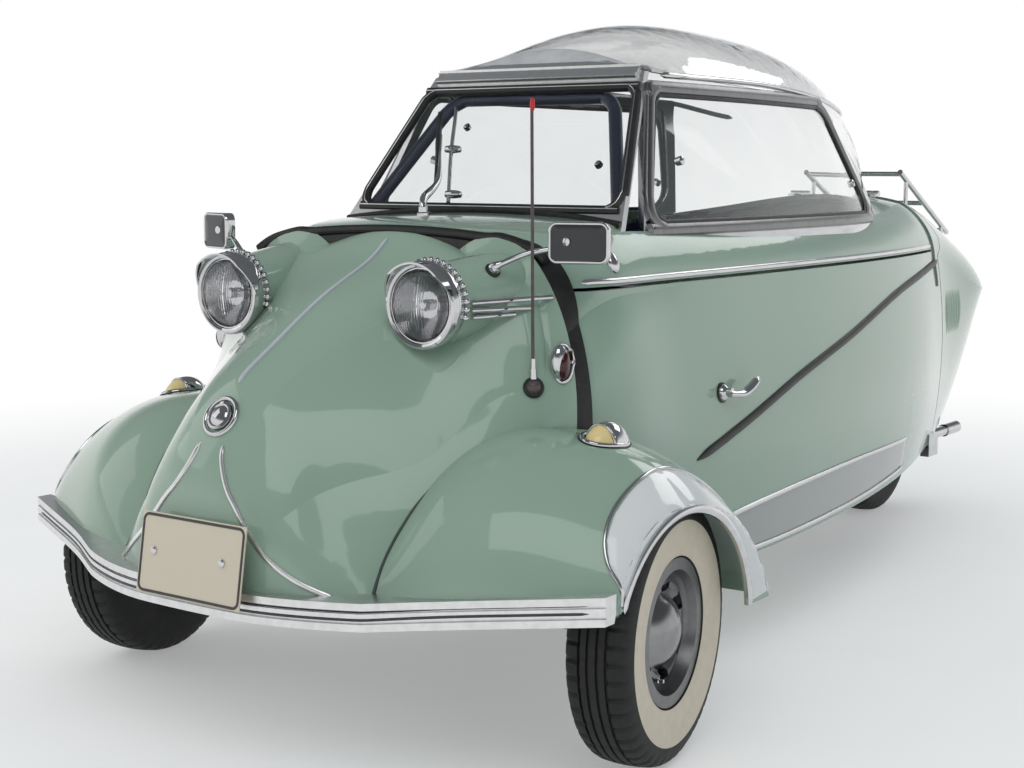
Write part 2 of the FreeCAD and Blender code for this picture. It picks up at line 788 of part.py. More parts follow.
axle_y = "sizes.front_axle_y + sizes.kingpin_station"
pin_x = "(sizes.track / 2 - sizes.kingpin_offset)"
reach = "(sizes.track / 2 - sizes.kingpin_offset - sizes.knuckle_radius - sizes.joint_gap)"
beam = cylinder("beam_tube", "sizes.axle_beam_radius", "2 * " + reach, "-" + reach, axle_y, "sizes.tyre_radius", "X")
yoke_pieces = [beam]
for side, sign in (("left", 1), ("right", -1)):
    yoke_start = reach + " - 14" if sign > 0 else "-" + reach
    yoke_pieces.append(block("yoke_%s" % side, "14", "34", "sizes.knuckle_height + 24",
                             yoke_start, axle_y + " - 17",
                             "sizes.tyre_radius - sizes.knuckle_height / 2 - 12"))
    for level, offset in (("top", "sizes.knuckle_height / 2 + 2"), ("bottom", "-sizes.knuckle_height / 2 - 12")):
        lug_start = reach + " - 14" if sign > 0 else "-" + pin_x + " - 16"
        yoke_pieces.append(block("lug_%s_%s" % (side, level),
                                 "sizes.knuckle_radius + sizes.joint_gap + 30", "30", "10",
                                 lug_start, axle_y + " - 15", "sizes.tyre_radius + " + offset))
    yoke_pieces.append(cylinder("kingpin_%s" % side, "sizes.kingpin_radius", "sizes.knuckle_height + 24",
                                ("" if sign > 0 else "-") + pin_x, axle_y,
                                "sizes.tyre_radius - sizes.knuckle_height / 2 - 12", "Z"))
publish(fuse("front_axle_beam", yoke_pieces), "front_axle_beam")

for side, sign in (("left", 1), ("right", -1)):
    barrel = cylinder("barrel_%s" % side, "sizes.knuckle_radius", "sizes.knuckle_height",
                      "0", "0", "-sizes.knuckle_height / 2", "Z")
    spindle = cylinder("spindle_%s" % side, "sizes.spindle_radius", "sizes.kingpin_offset + 18",
                       "0", "0", "0", "X")
    plate = cylinder("brake_plate_%s" % side, "sizes.rim_seat_radius - 27", "8",
                     "sizes.kingpin_offset - 42", "0", "0", "X")
    arm = block("steering_arm_%s" % side, "16", "86", "12", "-8", "0", "-38")
    bore = cylinder("kingpin_bore_%s" % side, "sizes.kingpin_radius + sizes.spindle_clearance",
                    "sizes.knuckle_height + 20", "0", "0", "-sizes.knuckle_height / 2 - 10", "Z")
    knuckle = cut("knuckle_%s" % side, fuse("knuckle_form_%s" % side, [barrel, spindle, plate, arm]), bore)
    knuckle.Placement = steered(V(0, 0, 0), sign)
    publish(knuckle, "knuckle_%s" % side)

# ---------------------------------------------------------------- chassis

frame_pieces = []
tube_z = "sizes.frame_height"
for side, sign in (("left", ""), ("right", "-")):
    frame_pieces.append(cylinder("rail_%s" % side, "sizes.frame_tube_radius",
                                 "sizes.bulkhead_station + sizes.engine_gap + sizes.engine_length"
                                 " - sizes.kingpin_station",
                                 sign + "sizes.frame_tube_spread", axle_y, tube_z, "Y"))
    for end in ("front", "rear"):
        frame_pieces.append(cylinder("mount_%s_%s" % (end, side), "sizes.mount_radius", "sizes.mount_rise",
                                     sign + "sizes.frame_tube_spread",
                                     "sizes.front_axle_y + sizes.mount_%s_station" % end, tube_z, "Z"))
frame_pieces.append(cylinder("cross_tube", "sizes.frame_tube_radius", "2 * sizes.frame_tube_spread",
                             "-sizes.frame_tube_spread",
                             "sizes.front_axle_y + sizes.bulkhead_station - 60", tube_z, "X"))
rails = fuse("rails", frame_pieces)
beam_copy = cylinder("beam_seat", "sizes.axle_beam_radius", "2 * " + reach, "-" + reach, axle_y, "sizes.tyre_radius", "X")
publish(cut("frame_rails", cut("rails_on_beam", rails, beam_copy), tub_item), "frame_rails")

floor_top = size("floor_top")
inside_tub = hull_inside.common(behind_nose_seam(bead / 2 + slab)).cut(behind_tail_seam(-200))
floor = inside_tub.common(box(-FAR, FAR, at(120), at(size("bulkhead_station")), 150, floor_top))
feature("floor_board", floor)

engine_y = "sizes.front_axle_y + sizes.bulkhead_station + sizes.engine_gap"
cradle_top = "sizes.frame_height + sizes.frame_tube_radius + 30"
publish(block("engine_cradle", "2 * sizes.frame_tube_spread + 30", "sizes.engine_length", "30",
              "-sizes.frame_tube_spread - 15", engine_y, "sizes.frame_height + sizes.frame_tube_radius"),
        "engine_cradle")
publish(block("engine_block", "sizes.engine_width", "sizes.engine_length", "sizes.engine_height",
              "-sizes.engine_width / 2", engine_y, cradle_top), "engine_block")

arm_length = "(sizes.wheelbase - sizes.bulkhead_station - sizes.engine_gap - sizes.engine_length + 30)"
swing_box = block("swing_box", "26", arm_length, "64", "sizes.tyre_width / 2 + 10",
                  engine_y + " + sizes.engine_length", "sizes.tyre_radius - 20")
rear_spindle = cylinder("rear_spindle", "sizes.spindle_radius", "sizes.tyre_width / 2 + 30",
                        "-20", "sizes.front_axle_y + sizes.wheelbase", "sizes.tyre_radius", "X")
publish(fuse("swing_arm", [swing_box, rear_spindle]), "swing_arm")

exhaust_x = size("exhaust_spread")
exhaust_z = size("exhaust_height")
engine_rear = size("bulkhead_station") + size("engine_gap") + size("engine_length")
pipe = bent_tube(((exhaust_x, at(engine_rear), exhaust_z + 14), (exhaust_x, at(engine_rear + 140), exhaust_z + 14),
                  (exhaust_x, at(engine_rear + 260), exhaust_z), (exhaust_x, at(2270), exhaust_z)),
                 size("exhaust_radius") - 3, 200)
tip = rod((exhaust_x, at(2262), exhaust_z), (exhaust_x, at(2352), exhaust_z), size("exhaust_radius"))
tip = tip.cut(rod((exhaust_x, at(2290), exhaust_z), (exhaust_x, at(2360), exhaust_z), size("exhaust_radius") - 2))
feature("exhaust", pipe.fuse(tip))

# ---------------------------------------------------------------- cabin

dash = hull_inside.common(box(-FAR, FAR, at(size("dash_station")), at(size("dash_station") + 40), 585, BELT - 8))
column_way = V(0, size("column_run"), size("column_rise")).normalize()
bar_centre = V(0, at(size("bar_station")), size("bar_height"))
column_low = bar_centre - column_way * size("column_length")
column_tube = rod(tuple(column_low), tuple(bar_centre - column_way * 60), 20)
column_bore = rod(tuple(column_low + column_way * 12), tuple(bar_centre), 11.05)
feature("dashboard", dash.cut(column_tube))
column_tube = column_tube.common(inside_tub).cut(column_bore)
feature("column_tube", max(column_tube.Solids, key=lambda s: s.Volume))
shaft = rod(tuple(column_low + column_way * 18), tuple(bar_centre), 11)
grip_drop = 60
bar = bent_tube(((-185, 0, grip_drop), (-150, 0, 0), (150, 0, 0), (185, 0, grip_drop)), 11, 30)
turned_bar = FreeCAD.Rotation(column_way, size("steer_rest") * size("bar_ratio"))
bar.Placement = FreeCAD.Placement(bar_centre, turned_bar)
feature("steering_bar", bar.fuse(shaft))


def seat(front, rear, width, base, cushion_top, back_top):
    """Bench seat: cushion and leaning back as one rounded block."""
    lean = 60
    thick = 85
    outline = ((at(front), base), (at(rear), base), (at(rear + lean), back_top),
               (at(rear + lean - 45), back_top), (at(rear - thick), cushion_top), (at(front), cushion_top - 15))
    return rounded(outline, 18, "X", -width / 2, width / 2)


feature("driver_seat", seat(560, 900, size("seat_width"), floor_top, 345, 640))
feature("rear_seat", seat(1060, 1390, size("seat_width") + 60, floor_top, 350, 640))

# ---------------------------------------------------------------- lamps


def lamp_ring(radius, inner, front, depth, pocket):
    """Round cup facing forward."""
    cup = Part.makeCylinder(radius, depth, V(0, front, 0), V(0, 1, 0))
    return cup.cut(Part.makeCylinder(inner, pocket, V(0, front, 0), V(0, 1, 0)))


lamp_centre = V(size("lamp_spacing"), at(size("lamp_station")), size("lamp_height"))
cup = lamp_ring(size("lamp_radius"), size("lamp_radius") - 9, -20, 28, 20)
visor = lamp_ring(size("lamp_radius") + 2, size("lamp_radius") - 1, -42, 24, 24)
visor = visor.common(prism(((-18, 0), (-18, 100), (-42, 100), (-42, 48)), "X", -100, 100))
cup = cup.fuse(visor)
cup.translate(lamp_centre)
cup = cup.cut(nose_outer)
lens = Part.makeCylinder(size("lamp_radius") - 9, 7, V(0, -17, 0), V(0, 1, 0))
lens.translate(lamp_centre)
lens = lens.cut(nose_outer)
feature("headlamp_rings", both(cup))
feature("headlamp_lenses", both(lens))


def egg(x, y, z, across, along, high):
    """Ellipsoid with three half sizes."""
    ball = Part.makeSphere(1.0)
    stretch = FreeCAD.Matrix()
    stretch.scale(across, along, high)
    ball = ball.transformGeometry(stretch)
    ball.translate(V(x, y, z))
    return ball


crest = egg(463, at(-10), 482, 27, 48, 34).cut(fender_loft(0))
split = box(-FAR, FAR, at(-60), at(-26), 0, FAR)
feature("fender_lamps", both(crest.cut(split)))
feature("fender_lamp_lenses", both(crest.common(split)))
feature("side_lamps", both(egg(367, at(6), 608, 14, 17, 28).cut(nose_outer)))

mirror_x = size("mirror_foot_x")
mirror_y = at(size("mirror_foot_station"))
mirror_arm = bent_tube(((mirror_x, mirror_y, 712), (mirror_x + 6, mirror_y, 772), (375, at(10), 792)), 5, 18)
mirror_head = rounded(((345, 768), (442, 768), (442, 826), (345, 826)), 14, "Y", at(8), at(30))
feature("mirrors", both(mirror_arm.fuse(mirror_head).cut(nose_outer).cut(nose_body)))

foot_x = size("antenna_foot_x")
foot_y = at(size("antenna_foot_station"))
foot_z = size("antenna_foot_height")
mast = rod((foot_x, foot_y, foot_z), (foot_x + 3, foot_y - 12, 1012), 2.6)
foot = egg(foot_x, foot_y, foot_z, 13, 13, 13)
feature("antenna", mast.fuse(foot).cut(nose_outer))

badge_place = FreeCAD.Placement(V(0, at(size("badge_station")), size("badge_height")),
                                FreeCAD.Rotation(V(1, 0, 0), size("badge_lean")))
ring = Part.makeTorus(30, 4)
ring.Placement = badge_place
feature("badge_ring", max(ring.cut(nose_outer).Solids, key=lambda s: s.Volume))

plate = box(-size("plate_width") / 2, size("plate_width") / 2, 0, size("plate_thickness"),
            0, size("plate_height"))
for sign in (-1, 1):
    stay_x = sign * size("plate_width") / 4
    plate = plate.fuse(rod((stay_x, 1, 14), (stay_x, 34, 8), 6))
plate.Placement = FreeCAD.Placement(V(size("plate_offset"), at(size("plate_station")), size("plate_bottom")),
                                    FreeCAD.Rotation(V(1, 0, 0), -size("plate_lean")))
plate = plate.cut(nose_outer).cut(strip)
feature("number_plate", max(plate.Solids, key=lambda s: s.Volume))

handle_y = at(size("handle_station"))
handle_z = size("handle_height")
handle = rod((385, handle_y, handle_z), (430, handle_y, handle_z), 9).cut(hull)
lever = box(420, 434, handle_y - 10, handle_y + 95, handle_z - 7, handle_z + 7)
feature("latch_handle", handle.fuse(lever))

wiper_arm = rod((0, at(250), 826), (0, at(262), 846), 8).cut(hull)
feature("wiper", wiper_arm.fuse(rod((0, at(262), 843), (0, at(395), 1026), 5)))

# ---------------------------------------------------------------- tail trim

rack_front = V(130, at(1905), 900)
rack_rear = V(118, at(2245), 748)
rack_way = (rack_rear - rack_front).normalize()
rail_front = rack_front - rack_way * 12
rail_rear = rack_rear + rack_way * 12
rail = rod(tuple(rail_front), tuple(rail_rear), 7)
rack = rail.fuse(mirrored(rail))
for fraction in (0.0, 0.5, 1.0):
    spot = rack_front + (rack_rear - rack_front) * fraction
    rack = rack.fuse(rod((-spot.x - 3, spot.y, spot.z), (spot.x + 3, spot.y, spot.z), 6))
for fraction in (0.1, 0.9):
    spot = rack_front + (rack_rear - rack_front) * fraction
    for sign in (1, -1):
        rack = rack.fuse(rod((sign * spot.x, spot.y, spot.z + 2), (sign * spot.x, spot.y, spot.z - 130), 5.5))
feature("luggage_rack", max(rack.cut(hull).Solids, key=lambda s: s.Volume))

lamp = Part.makeCylinder(24, 61, V(98, at(2294), 505), V(0, 1, 0)).cut(hull)
feature("tail_lamps", both(max(lamp.Solids, key=lambda s: s.BoundBox.YMax)))

flap = box(-85, 85, at(2255), at(2263), 150, 310)
flap = flap.fuse(box(-FAR, FAR, at(2255), at(2263), 295, 340).common(hull_inside))
feature("mudflap", max(flap.cut(tail).Solids, key=lambda s: s.Volume))
catch = box(262, 284, at(1765), at(1822), 206, 262).cut(hull)
feature("tail_catches", both(max(catch.Solids, key=lambda s: s.Volume)))

# ---------------------------------------------------------------- hinges

hinge_x = -size("hatch_hinge_x")
hinge_z = BELT + GAP / 2
pins = []
knuckles = []
for station in (420, 1160):
    start = at(station)
    pins.append(rod((hinge_x, start, hinge_z), (hinge_x, start + 70, hinge_z), 4))
    for offset in (0, 52):
        leaf = rod((hinge_x, start + offset, hinge_z), (hinge_x, start + offset + 18, hinge_z), 8)
        web = box(hinge_x - 8, -335, start + offset, start + offset + 18, hinge_z - 34, hinge_z - 3).cut(hull)
        pins.append(leaf.fuse(web))
    eye = rod((hinge_x, start + 20, hinge_z), (hinge_x, start + 50, hinge_z), 8)
    web = box(hinge_x - 8, -325, start + 20, start + 50, hinge_z + 3, hinge_z + 26).cut(hull)
    eye = eye.fuse(web).cut(rod((hinge_x, start, hinge_z), (hinge_x, start + 70, hinge_z), 4.05))
    knuckles.append(eye)
fixed_leaves = []
for group in (pins[:3], pins[3:]):
    whole = group[0].fuse(group[1]).fuse(group[2])
    fixed_leaves.append(whole)
feature("hatch_hinge_pins", Part.makeCompound(fixed_leaves))
feature("hatch_hinge_eyes", Part.makeCompound(knuckles))

tail_y = at(size("deck_seam_station"))
tail_z = size("tail_hinge_height")
inner_x = size("tail_hinge_spread")


def tail_leaf(start, end, reach, radius):
    """Barrel round the tail's hinge axis with a web down to the deck in front or behind."""
    barrel = rod((start, tail_y, tail_z), (end, tail_y, tail_z), radius)
    near = math.copysign(2, reach)
    low, high = min(near, reach), max(near, reach)
    web = box(start, end, tail_y + low, tail_y + high, tail_z - 60, tail_z - 1)
    return barrel.fuse(web.cut(hull))


tail_pin = rod((inner_x - 26, tail_y, tail_z), (inner_x + 26, tail_y, tail_z), 3)
for start in (inner_x - 26, inner_x + 10):
    tail_pin = tail_pin.fuse(tail_leaf(start, start + 16, -20, 7))
tail_pin = tail_pin.cut(hull)
tail_eye = tail_leaf(inner_x - 8, inner_x + 8, 24, 7)
tail_eye = tail_eye.cut(rod((inner_x - 30, tail_y, tail_z), (inner_x + 30, tail_y, tail_z), 3.05))
feature("tail_hinge_pins", both(max(tail_pin.Solids, key=lambda s: s.Volume)))
feature("tail_hinge_eyes", both(max(tail_eye.Solids, key=lambda s: s.Volume)))

# ---------------------------------------------------------------- writing

doc.recompute()
for item in doc.Objects:
    if "Invalid" in item.State or "Error" in item.State:
        raise RuntimeError("%s did not build: %s" % (item.Label, item.State))
for item in NODES:
    if item.Shape.isNull() or not item.Shape.isValid():
        raise RuntimeError("%s has no valid shape" % item.Label)
os.makedirs("parts", exist_ok=True)
for item in NODES:
    item.Shape.exportStep("parts/%s.step" % item.Label)
    print(item.Label, len(item.Shape.Solids), round(item.Shape.Volume / 1000), item.Shape.BoundBox)
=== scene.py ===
import json
import math

import bmesh
import bpy
from mathutils import Euler, Matrix, Vector
from mathutils.bvhtree import BVHTree

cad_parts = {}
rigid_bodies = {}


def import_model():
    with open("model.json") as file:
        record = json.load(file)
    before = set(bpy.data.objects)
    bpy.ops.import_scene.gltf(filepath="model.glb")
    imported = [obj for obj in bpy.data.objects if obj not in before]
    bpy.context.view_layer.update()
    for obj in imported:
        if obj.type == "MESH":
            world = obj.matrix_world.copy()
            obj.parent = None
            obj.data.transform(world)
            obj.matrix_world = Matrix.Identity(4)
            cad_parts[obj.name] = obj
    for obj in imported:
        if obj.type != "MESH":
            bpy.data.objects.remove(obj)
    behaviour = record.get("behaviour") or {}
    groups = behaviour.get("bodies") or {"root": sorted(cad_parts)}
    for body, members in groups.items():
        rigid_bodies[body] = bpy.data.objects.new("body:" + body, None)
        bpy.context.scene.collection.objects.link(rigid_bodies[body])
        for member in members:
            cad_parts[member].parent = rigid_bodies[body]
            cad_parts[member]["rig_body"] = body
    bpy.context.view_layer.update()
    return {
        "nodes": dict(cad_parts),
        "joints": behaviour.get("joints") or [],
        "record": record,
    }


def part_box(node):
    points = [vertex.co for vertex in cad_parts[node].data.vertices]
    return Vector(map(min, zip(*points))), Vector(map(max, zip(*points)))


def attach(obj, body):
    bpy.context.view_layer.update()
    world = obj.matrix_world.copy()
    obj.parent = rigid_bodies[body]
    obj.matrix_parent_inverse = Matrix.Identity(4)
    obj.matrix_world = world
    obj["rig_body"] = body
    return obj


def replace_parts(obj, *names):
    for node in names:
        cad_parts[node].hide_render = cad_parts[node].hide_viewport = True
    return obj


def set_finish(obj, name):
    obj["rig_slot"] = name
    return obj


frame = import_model()
scene = bpy.context.scene
scene.view_settings.view_transform = "Standard"

# X is the car's left, Y the rear and Z up; lengths are in metres

UP = Vector((0.0, 0.0, 1.0))
DOWN = Vector((0.0, 0.0, -1.0))
LEFT = Vector((1.0, 0.0, 0.0))
BACK = Vector((0.0, 1.0, 0.0))
AHEAD = Vector((0.0, -1.0, 0.0))

beam_low, beam_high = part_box("front_axle_beam")
AXLE_Y = (beam_low[1] + beam_high[1]) / 2 + 0.01


def at(station):
    """Y of a station behind the front axle line."""
    return AXLE_Y + station


# ---------------------------------------------------------------- materials


def add_node(tree, kind, **values):
    """A node of one kind, with its plain settings and input values."""
    node = tree.nodes.new(kind)
    for key, value in values.items():
        if hasattr(node, key):
            setattr(node, key, value)
        else:
            node.inputs[key.replace("_", " ")].default_value = value
    return node


class Nodes:
    """Small helper that adds and links shader nodes of one material."""

    def __init__(self, name):
        self.material = bpy.data.materials.new(name)
        self.material.use_nodes = True
        self.tree = self.material.node_tree
        self.shader = self.tree.nodes["Principled BSDF"]
        self.coords = self.add("ShaderNodeTexCoord")

    def add(self, kind, **values):
        return add_node(self.tree, kind, **values)

    def link(self, source, target):
        self.tree.links.new(source, target)

    def noise(self, scale, detail=3.0, stretch=None):
        """Noise over the object's own coordinates, stretched along its axes if asked."""
        node = self.add("ShaderNodeTexNoise", Scale=scale, Detail=detail, Roughness=0.55)
        source = self.coords.outputs["Object"]
        if stretch:
            mapping = self.add("ShaderNodeMapping", Scale=stretch)
            self.link(source, mapping.inputs["Vector"])
            source = mapping.outputs["Vector"]
        self.link(source, node.inputs["Vector"])
        return node.outputs["Fac"]

    def color(self, factor, low, high):
        """Base colour blended from two colours by a factor."""
        node = self.add("ShaderNodeValToRGB")
        for element, position, tone in zip(node.color_ramp.elements, (0.35, 0.65), (low, high)):
            element.position = position
            element.color = (*tone, 1.0)
        self.link(factor, node.inputs["Fac"])
        self.link(node.outputs["Color"], self.shader.inputs["Base Color"])

    def roughness(self, factor, low, high):
        """Roughness between two values by a factor."""
        node = self.add("ShaderNodeMapRange", To_Min=low, To_Max=high)
        self.link(factor, node.inputs["Value"])
        self.link(node.outputs["Result"], self.shader.inputs["Roughness"])

    def bump(self, height, strength, distance):
        node = self.add("ShaderNodeBump", Strength=strength, Distance=distance)
        self.link(height, node.inputs["Height"])
        self.link(node.outputs["Normal"], self.shader.inputs["Normal"])

    def set(self, **values):
        """Plain values on the shader's own sockets."""
        for key, value in values.items():
            self.shader.inputs[key.replace("_", " ")].default_value = value


def paint(name, base, deep):
    """Gloss body paint: slight drift of colour, fine orange peel under a clear coat."""
    n = Nodes(name)
    n.color(n.noise(1.7, 2.0), base, deep)
    n.roughness(n.noise(26.0), 0.2, 0.3)
    n.set(Coat_Weight=1.0, Coat_Roughness=0.05, Coat_IOR=1.45, IOR=1.45, Specular_IOR_Level=0.15)
    n.bump(n.noise(420.0, 1.0), 0.02, 0.0006)
    return n.material


def bright_metal(name, tone, rough_low, rough_high, scale=60.0, stretch=None):
    """Plated or polished metal with faint wipe marks."""
    n = Nodes(name)
    marks = n.noise(scale, 4.0, stretch)
    n.color(marks, tone, tuple(c * 0.9 for c in tone))
    n.roughness(marks, rough_low, rough_high)
    n.set(Metallic=1.0)
    n.bump(marks, 0.02, 0.0004)
    return n.material


def dull(name, tone, other, rough_low, rough_high, scale=90.0, bump=0.15, distance=0.0006):
    """Rubber, cast or painted black surfaces with an even fine grain."""
    n = Nodes(name)
    grain = n.noise(scale, 5.0)
    n.color(grain, tone, other)
    n.roughness(n.noise(scale * 0.3), rough_low, rough_high)
    n.bump(grain, bump, distance)
    return n.material


def clear(name, tint, rough=0.0, ior=1.45):
    """Clear glass or acrylic sheet."""
    n = Nodes(name)
    haze = n.noise(9.0, 2.0)
    n.color(haze, tint, tuple(c * 0.985 for c in tint))
    n.roughness(haze, rough, rough + 0.01)
    n.set(Transmission_Weight=1.0, IOR=ior)
    return n.material


M_GREEN = paint("paint_green", (0.285, 0.385, 0.302), (0.262, 0.365, 0.29))
M_CHROME = bright_metal("chrome", (0.62, 0.62, 0.63), 0.03, 0.1)
M_ALU = bright_metal("aluminium", (0.66, 0.66, 0.67), 0.12, 0.24, 80.0, (1.0, 0.15, 1.0))
M_SATIN = bright_metal("satin_trim", (0.8, 0.8, 0.8), 0.26, 0.36, 70.0)
M_RUBBER = dull("rubber", (0.008, 0.008, 0.008), (0.016, 0.015, 0.015), 0.36, 0.5)
M_SILVER = bright_metal("rim_silver", (0.2, 0.2, 0.205), 0.3, 0.42)
M_BLACK = dull("black_paint", (0.018, 0.018, 0.02), (0.028, 0.028, 0.03), 0.35, 0.5)
M_GLASS = clear("window_glass", (0.97, 0.985, 0.985))
M_ACRYLIC = clear("dome_acrylic", (0.985, 0.985, 0.985), 0.0, 1.35)
M_NAVY = dull("navy_vinyl", (0.01, 0.018, 0.06), (0.014, 0.024, 0.08), 0.38, 0.5, 240.0)
M_AMBER = paint("lamp_cream_glass", (0.78, 0.64, 0.32), (0.74, 0.58, 0.27))
M_MAST = dull("aerial_mast", (0.06, 0.045, 0.048), (0.085, 0.065, 0.066), 0.3, 0.4)

FINISHES = {
    "paint_green": M_GREEN, "chrome": M_CHROME, "alu": M_ALU, "rubber": M_RUBBER, "tyre": M_RUBBER,
    "silver": M_SILVER, "glass": M_GLASS, "black_metal": M_BLACK, "steel": M_ALU, "vinyl": M_NAVY,
    "plastic": paint("cream_plastic", (0.8, 0.72, 0.45), (0.78, 0.7, 0.42)),
    "plate": paint("plate_beige", (0.62, 0.56, 0.44), (0.6, 0.54, 0.42)),
}
SPECIAL = {
    "dome": M_ACRYLIC, "side_lamps": M_CHROME, "fender_lamp_lenses": M_AMBER, "antenna": M_MAST,
    "windscreen_frame": M_SATIN, "bumper_strip": M_SATIN, "steering_bar": M_CHROME,
    "luggage_rack": M_CHROME, "tail_catches": M_CHROME,
}
for part in frame["record"]["subparts"]:
    carried = frame["nodes"][part["node"]].data
    carried.materials.clear()
    carried.materials.append(SPECIAL.get(part["node"], FINISHES[part["material_slot"]]))

# what a piece is made of, with the material slot that it fills
CHROME = (M_CHROME, "chrome")
ALU = (M_ALU, "alu")
RUBBER = (M_RUBBER, "rubber")

# ---------------------------------------------------------------- laying pieces on the car

BODY_OF = {}
for body_name, members in frame["record"]["behaviour"]["bodies"].items():
    for member in members:
        BODY_OF[member] = body_name


def piece(name, verts, faces, finish, body="chassis", angle=35.0):
    """A mesh piece that rides on a body, smooth shaded except at edges sharper than the angle."""
    material, slot = finish
    mesh = bpy.data.meshes.new(name)
    mesh.from_pydata([tuple(v) for v in verts], [], faces)
    mesh.validate()
    shape = bmesh.new()
    shape.from_mesh(mesh)
    bmesh.ops.recalc_face_normals(shape, faces=shape.faces)
    shape.to_mesh(mesh)
    shape.free()
    for polygon in mesh.polygons:
        polygon.use_smooth = True
    mesh.set_sharp_from_angle(angle=math.radians(angle))
    mesh.materials.append(material)
    thing = bpy.data.objects.new(name, mesh)
    scene.collection.objects.link(thing)
    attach(thing, body)
    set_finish(thing, slot)
    return thing


def both(thing):
    """Adds the same piece on the car's right side, and gives the left one back."""
    mesh = thing.data.copy()
    mesh.transform(Matrix.Scale(-1.0, 4, LEFT))
    mesh.flip_normals()
    copy = bpy.data.objects.new(thing.name.replace("left", "right"), mesh)
    scene.collection.objects.link(copy)
    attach(copy, thing["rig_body"])
    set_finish(copy, thing["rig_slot"])
    return thing


def settled(thing):
    """Makes a piece's modifiers part of its mesh."""
    depsgraph = bpy.context.evaluated_depsgraph_get()
    thing.data = bpy.data.meshes.new_from_object(thing.evaluated_get(depsgraph))
    thing.modifiers.clear()
    return thing


# rays to the skins start this far out
CLEAR_OF_CAR = 2.0


class Skin:
    """The surface of one or more CAD nodes, on which trim is laid."""

    def __init__(self, *names):
        verts = []
        faces = []
        for name in names:
            mesh = frame["nodes"][name].data
            base = len(verts)
            verts.extend(v.co.copy() for v in mesh.vertices)
            faces.extend([base + i for i in p.vertices] for p in mesh.polygons)
        self.tree = BVHTree.FromPolygons(verts, faces)

    def near(self, point):
        """Nearest place on the skin and its normal."""
        return self.tree.find_nearest(Vector(point))[:2]

    def hit(self, start, way):
        """First place on the skin along a way, and its normal turned back against the way."""
        way = Vector(way).normalized()
        spot, normal, _, _ = self.tree.ray_cast(Vector(start), way)
        if spot is None:
            return None, None
        return spot, normal if normal.dot(way) < 0 else -normal

    def from_side(self, y, z):
        """Place on the left flank at a Y and Z."""
        return self.hit((CLEAR_OF_CAR, y, z), -LEFT)

    def flank(self, x, y, z):
        """Place on the left flank at a Y and Z, or else the one nearest to X, Y and Z."""
        spot, normal = self.from_side(y, z)
        return self.near((x, y, z)) if spot is None else (spot, normal)

    def along(self, pairs):
        """Places on the left flank at those (Y, Z) pairs that meet it."""
        spots = [self.from_side(y, z)[0] for y, z in pairs]
        return [spot for spot in spots if spot is not None]


NOSE = Skin("nose_shell")
BEAD = Skin("nose_bead")
TUB = Skin("tub_shell")
HATCH = Skin("hatch_shell")
HATCH_TOP = Skin("hatch_shell", "windscreen_frame")
TAIL = Skin("tail_shell")
WING = Skin("fender_left")
PLATE = Skin("number_plate")
BUMPER = Skin("bumper_strip")
SCREEN = Skin("windscreen_frame")
SIDE = Skin("side_frames", "side_windows", "dome")
DOME = Skin("dome")


def rings_joined(rows, width, closed=False):
    """Quads between rings of points; closed joins the last ring to the first."""
    faces = []
    for j in range(rows if closed else rows - 1):
        here, there = j * width, (j + 1) % rows * width
        for k in range(width):
            m = (k + 1) % width
            faces.append((here + k, here + m, there + m, there + k))
    return faces


def sheet(columns, rows):
    """Quads of an open sheet of columns, each with rows + 1 points."""
    starts = [i * (rows + 1) + j for i in range(columns) for j in range(rows)]
    return [(a, a + rows + 1, a + rows + 2, a + 1) for a in starts]


def circle(count):
    """Cosine and sine of even turns round a circle."""
    turns = [2 * math.pi * k / count for k in range(count)]
    return [(math.cos(turn), math.sin(turn)) for turn in turns]


def ring(centre, wide, tall, half_wide, half_tall, count):
    """Points round an oval, from its wide axis on."""
    return [centre + wide * (c * half_wide) + tall * (s * half_tall) for c, s in circle(count)]


def taken(shape):
    """Verts and faces of a bmesh, which is then freed."""
    shape.verts.index_update()
    verts = [v.co.copy() for v in shape.verts]
    faces = [[v.index for v in f.verts] for f in shape.faces]
    shape.free()
    return verts, faces


def upright(normal):
    """Level and rising directions in a surface with this normal."""
    rising = (UP - normal * UP.dot(normal)).normalized()
    return rising.cross(normal), rising


def run_of(spots):
    """Distance from the start of a path at each of its points."""
    run = [0.0]
    for a, b in zip(spots, spots[1:]):
        run.append(run[-1] + (b - a).length)
    return run


def fine(path, step, closed=False):
    """Evenly spaced points along a smooth curve through the given ones."""
    points = [Vector(p) for p in path]
    count = len(points)
    dense = []
    for i in range(count if closed else count - 1):
        if closed:
            p0, p1, p2, p3 = (points[(i + k) % count] for k in (-1, 0, 1, 2))
        else:
            p0, p1, p2, p3 = (points[min(max(i + k, 0), count - 1)] for k in (-1, 0, 1, 2))
        for k in range(12):
            t = k / 12.0
            dense.append(0.5 * ((2 * p1) + (p2 - p0) * t + (2 * p0 - 5 * p1 + 4 * p2 - p3) * t * t
                                + (3 * p1 - p0 - 3 * p2 + p3) * t ** 3))
    dense.append(points[0].copy() if closed else points[-1].copy())
    lengths = run_of(dense)
    total = lengths[-1]
    steps = max(int(round(total / step)), 2)
    result = []
    j = 0
    for i in range(steps if closed else steps + 1):
        goal = total * i / steps
        while j < len(lengths) - 2 and lengths[j + 1] < goal:
            j += 1
        reach = lengths[j + 1] - lengths[j]
        result.append(dense[j].lerp(dense[j + 1], (goal - lengths[j]) / reach if reach else 0.0))
    return result


